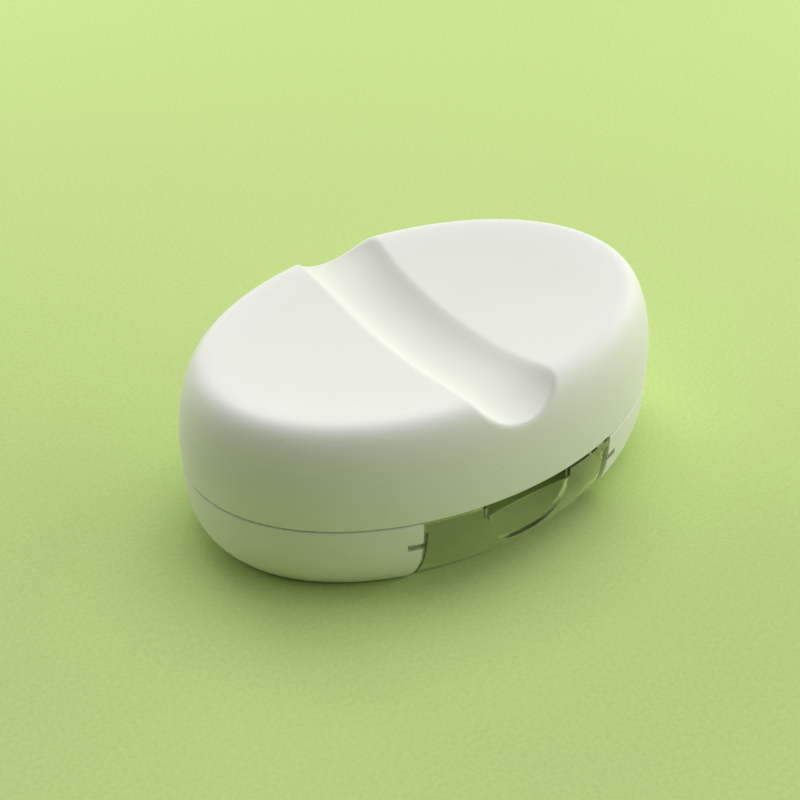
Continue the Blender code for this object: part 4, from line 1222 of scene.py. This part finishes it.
def moulded_group():
    """Fine mould grain, broad uneven patches and a few dust specks."""
    outputs = ("Grain", "Patches", "Specks")
    tree, coordinates, size = shader_group("moulded_surface", MARK_SCALES, outputs)
    details = (GRAIN_DETAIL, PATCH_DETAIL, SPECK_DETAIL)
    grain, patches, specks = [
        noise(tree, coordinates, size[label], detail, NOISE_ROUGHNESS)
        for label, detail in zip(MARK_SCALES, details)
    ]
    results = (grain, ramp(patches, *PATCH_RANGE), ramp(specks, *SPECK_RANGE))
    return end_group(tree, dict(zip(outputs, results)))


def brushed_group():
    """Fine lines that run along Y, from the grinding of a metal face."""
    tree, coordinates, size = shader_group("brushed_lines", ("Across Scale", "Along Scale"), ("Lines",))
    across = size["Across Scale"]
    links = {"X": across, "Y": size["Along Scale"], "Z": across}
    scale = tree_node(tree, "ShaderNodeCombineXYZ", links)
    links = {0: coordinates, 1: scale}
    stretched = tree_node(tree, "ShaderNodeVectorMath", links, operation="MULTIPLY")
    return end_group(tree, {"Lines": noise(tree, stretched, 1.0, LINE_DETAIL, LINE_ROUGHNESS)})


# Materials

def new_material(name):
    """A material with a Principled shader, and its Object coordinates."""
    made = bpy.data.materials.new(name)
    made.use_nodes = True
    tree = made.node_tree
    shader = tree.nodes["Principled BSDF"]
    coordinates = tree.nodes.new("ShaderNodeTexCoord").outputs["Object"]
    return made, tree, shader, coordinates


def use_group(tree, group, coordinates, values):
    """Places a group in a material and gives its results as fields."""
    made = tree.nodes.new("ShaderNodeGroup")
    made.node_tree = group
    feed(tree, coordinates, made.inputs["Coordinates"])
    for label, value in values.items():
        made.inputs[label].default_value = value
    return {socket.name: Field(tree, socket) for socket in made.outputs}


def mix_colour(tree, factor, first, second):
    """A colour between two, each a plain colour or a socket."""
    made = tree.nodes.new("ShaderNodeMix")
    made.data_type = "RGBA"
    feed(tree, factor, made.inputs["Factor"])
    for place, colour in zip((made.inputs[6], made.inputs[7]), (first, second)):
        if isinstance(colour, tuple):
            colour = (*colour, 1.0)
        feed(tree, colour, place)
    return made.outputs[2]


def mix_shader(tree, factor, first, second):
    """A surface between two."""
    return tree_node(tree, "ShaderNodeMixShader", {0: factor, 1: first, 2: second})


def add_bump(tree, shader, height, strength, distance):
    """Lets a height tilt the surface's normals."""
    links = {"Strength": strength, "Distance": distance, "Height": height}
    tree.links.new(tree_node(tree, "ShaderNodeBump", links), shader.inputs["Normal"])


def set_inputs(shader, values):
    """Sets plain values on a shader's inputs."""
    for label, value in values.items():
        shader.inputs[label].default_value = value


def rub_and_highlight_mask(tree, coordinates, patches):
    """Where hands rub the lid, and where its crest is painted lighter as a painted highlight: unevenly along
    the crest.
    """
    split = tree.nodes.new("ShaderNodeSeparateXYZ")
    tree.links.new(coordinates, split.inputs[0])
    high = ramp(Field(tree, split.outputs["Z"]), RUB_AND_HIGHLIGHT_LOW_Z, RUB_AND_HIGHLIGHT_HIGH_Z)
    return high * (patches * RUB_AND_HIGHLIGHT_UNEVEN + (1.0 - RUB_AND_HIGHLIGHT_UNEVEN))


def plastic(name, moulded, colour, roughness, grain):
    """Moulded white plastic: fine grain, faint uneven sheen, a few specks, and a crest that is rubbed
    glossier and painted lighter as a painted highlight.
    """
    made, tree, shader, coordinates = new_material(name)
    marks = use_group(tree, moulded, coordinates, PLASTIC_MARKS)
    factor = marks["Patches"] * PLASTIC_PATCHES + marks["Specks"] * PLASTIC_SPECKS
    rub_and_highlight = rub_and_highlight_mask(tree, coordinates, marks["Patches"])
    plain = mix_colour(tree, factor, colour, WHITE_DUST)
    # The crest takes a lighter, cleaner colour: a painted highlight, besides the dust that rubbing takes off
    feed(tree, mix_colour(tree, rub_and_highlight, plain, WHITE_RUBBED_AND_HIGHLIGHT), shader.inputs["Base Color"])
    sheen = marks["Patches"] * PLASTIC_SHEEN - rub_and_highlight * RUB_SHEEN
    feed(tree, sheen + (roughness - PLASTIC_SHEEN / 2), shader.inputs["Roughness"])
    set_inputs(shader, {"Specular IOR Level": WHITE_GLOSS})
    add_bump(tree, shader, marks["Grain"], grain, PLASTIC_GRAIN_HEIGHT)
    return made


def clear_plastic(moulded):
    """Clear polished plastic. Rays from lamps and soft light pass, so that what lies behind it is lit."""
    made, tree, shader, coordinates = new_material("drawer_clear")
    marks = use_group(tree, moulded, coordinates, CLEAR_MARKS)
    values = {
        "Base Color": (*CLEAR_PLASTIC, 1.0),
        "Transmission Weight": CLEAR_SHARE,
        "IOR": CLEAR_IOR,
        "Coat Weight": 1.0,
        "Coat IOR": CLEAR_SKIN_IOR,
        "Coat Roughness": CLEAR_SKIN_ROUGHNESS,
    }
    set_inputs(shader, values)
    marred = marks["Patches"] * CLEAR_PATCHES + marks["Specks"] * CLEAR_SPECKS
    feed(tree, marred + CLEAR_ROUGHNESS, shader.inputs["Roughness"])
    add_bump(tree, shader, marks["Patches"], CLEAR_WAVE, CLEAR_WAVE_HEIGHT)
    light = tree.nodes.new("ShaderNodeLightPath")
    thin = tree_node(tree, "ShaderNodeBsdfTransparent", {"Color": (*CLEAR_SHADE, 1.0)})
    surface = shader.outputs[0]
    for ray in ("Is Shadow Ray", "Is Diffuse Ray"):
        surface = mix_shader(tree, light.outputs[ray], surface, thin)
    tree.links.new(surface, tree.nodes["Material Output"].inputs["Surface"])
    return made


def steel(name, brushed, line_scales, roughness):
    """Steel with fine lines in its colour, sheen and surface."""
    made, tree, shader, coordinates = new_material(name)
    across, along = line_scales
    marks = use_group(tree, brushed, coordinates, {"Across Scale": across, "Along Scale": along})
    feed(tree, mix_colour(tree, marks["Lines"], STEEL, STEEL_DARK), shader.inputs["Base Color"])
    feed(tree, marks["Lines"] * LINE_SHEEN + roughness, shader.inputs["Roughness"])
    set_inputs(shader, {"Metallic": 1.0})
    add_bump(tree, shader, marks["Lines"], LINE_BUMP, LINE_HEIGHT)
    return made


def rubber(name, moulded, colour, dust):
    """Soft matte rubber with a little dust."""
    made, tree, shader, coordinates = new_material(name)
    marks = use_group(tree, moulded, coordinates, RUBBER_MARKS)
    factor = marks["Patches"] * RUBBER_PATCHES + marks["Specks"] * RUBBER_SPECKS
    feed(tree, mix_colour(tree, factor, colour, dust), shader.inputs["Base Color"])
    feed(tree, marks["Patches"] * RUBBER_SHEEN + RUBBER_ROUGHNESS, shader.inputs["Roughness"])
    add_bump(tree, shader, marks["Grain"], RUBBER_GRAIN, RUBBER_GRAIN_HEIGHT)
    return made


def seen_ray(tree):
    """Whether a ray shows something to the camera, directly or by gloss or glass."""
    light = tree.nodes.new("ShaderNodeLightPath")
    seen = [Field(tree, light.outputs[ray]) for ray in SEEN_RAYS]
    return larger(larger(seen[0], seen[1]), seen[2])


def floor_paper(moulded):
    """Pale green paper with a faint tooth, which gives way to the backdrop far from the object."""
    made, tree, shader, coordinates = new_material("floor_paper")
    marks = use_group(tree, moulded, coordinates, PAPER_MARKS)
    tooth = ramp(marks["Grain"], *PAPER_TOOTH_RANGE)
    factor = tooth * PAPER_TOOTH + marks["Patches"] * PAPER_PATCHES
    feed(tree, mix_colour(tree, factor, FLOOR_GREEN, FLOOR_DEEP), shader.inputs["Base Color"])
    add_bump(tree, shader, marks["Grain"], PAPER_BUMP, PAPER_BUMP_HEIGHT)
    set_inputs(shader, {"Roughness": PAPER_ROUGHNESS, "Specular IOR Level": PAPER_GLOSS})
    away = tree.nodes.new("ShaderNodeVectorMath")
    away.operation = "LENGTH"
    tree.links.new(coordinates, away.inputs[0])
    far = ramp(Field(tree, away.outputs["Value"]), FLOOR_CLEAR_FROM, FLOOR_CLEAR_TO)
    nothing = tree_node(tree, "ShaderNodeBsdfTransparent", {})
    surface = mix_shader(tree, far * seen_ray(tree), shader.outputs[0], nothing)
    tree.links.new(surface, tree.nodes["Material Output"].inputs["Surface"])
    return made


# Stage, light and camera

def around(azimuth, elevation, distance, target):
    """A place seen from a target: azimuth 0 is towards -Y, and 90 degrees towards +X."""
    flat = math.cos(elevation)
    way = Vector((math.sin(azimuth) * flat, -math.cos(azimuth) * flat, math.sin(elevation)))
    return Vector(target) + way * distance


def aim(made, target):
    """Turns a lamp or the camera towards a target."""
    made.rotation_euler = (Vector(target) - made.location).to_track_quat("-Z", "Y").to_euler()


def soft_light(name, azimuth, elevation, distance, size, power):
    """A round lamp that looks at the object."""
    data = bpy.data.lights.new(name, "AREA")
    data.shape = "DISK"
    data.size = size
    data.energy = power
    lamp = place_object(name, data)
    lamp.location = around(math.radians(azimuth), math.radians(elevation), distance, CAMERA_TARGET)
    aim(lamp, CAMERA_TARGET)


def world_light(strength):
    """Even white light from all round, with a pale green backdrop where it is seen."""
    world = bpy.data.worlds.new("studio")
    bpy.context.scene.world = world
    world.use_nodes = True
    tree = world.node_tree
    light = tree.nodes["Background"]
    set_inputs(light, {"Color": (1.0, 1.0, 1.0, 1.0), "Strength": strength})
    backdrop = tree_node(tree, "ShaderNodeBackground", {"Color": (*BACKDROP_GREEN, 1.0)})
    surface = mix_shader(tree, seen_ray(tree), light.outputs[0], backdrop)
    tree.links.new(surface, tree.nodes["World Output"].inputs["Surface"])


def stage(material):
    """The floor that the object stands on."""
    bm = bmesh.new()
    bmesh.ops.create_grid(bm, x_segments=1, y_segments=1, size=FLOOR_HALF)
    floor = from_bmesh("floor", bm)
    floor.data.materials.append(material)


def camera():
    """The camera that sees the object as the photograph does."""
    data = bpy.data.cameras.new("photo_view")
    data.lens = CAMERA_LENS
    data.sensor_width = CAMERA_SENSOR
    made = place_object("photo_view", data)
    made.location = around(CAMERA_AZIMUTH, CAMERA_ELEVATION, CAMERA_DISTANCE, CAMERA_TARGET)
    aim(made, CAMERA_TARGET)
    bpy.context.scene.camera = made


def build():
    """Makes the finishes, the pieces, the stage, the light and the camera."""
    moulded = moulded_group()
    brushed = brushed_group()
    white = plastic("case_white", moulded, WHITE_PLASTIC, CASE_ROUGHNESS, CASE_GRAIN)
    inner = plastic("inner_white", moulded, INNER_WHITE, INNER_ROUGHNESS, INNER_GRAIN)
    clear = clear_plastic(moulded)
    soft = rubber("grip_rubber", moulded, SOFT_GREY, SOFT_DUST)
    foot = rubber("foot_grey", moulded, FOOT_GREY, SOFT_GREY)
    ground = steel("ground_steel", brushed, GROUND_LINES, GROUND_ROUGHNESS)
    plain = steel("screw_steel", brushed, PLAIN_LINES, PLAIN_ROUGHNESS)
    lid_cover(white)
    base_case(white)
    clear_drawer(clear)
    deck_plate(inner)
    ribs = rib_tree(soft)
    for side, sign in SIDES.items():
        pill_grip(side, sign, ribs, soft)
    blade_carrier(inner)
    ground_blade(ground)
    for end in ENDS:
        blade_clamp(end, plain)
    hinge_pin(plain)
    screws(plain)
    rubber_feet(foot)
    stage(floor_paper(moulded))
    for lamp in STUDIO:
        soft_light(*lamp)
    world_light(WORLD_STRENGTH)
    camera()


bpy.context.scene.view_settings.view_transform = "Standard"
build()
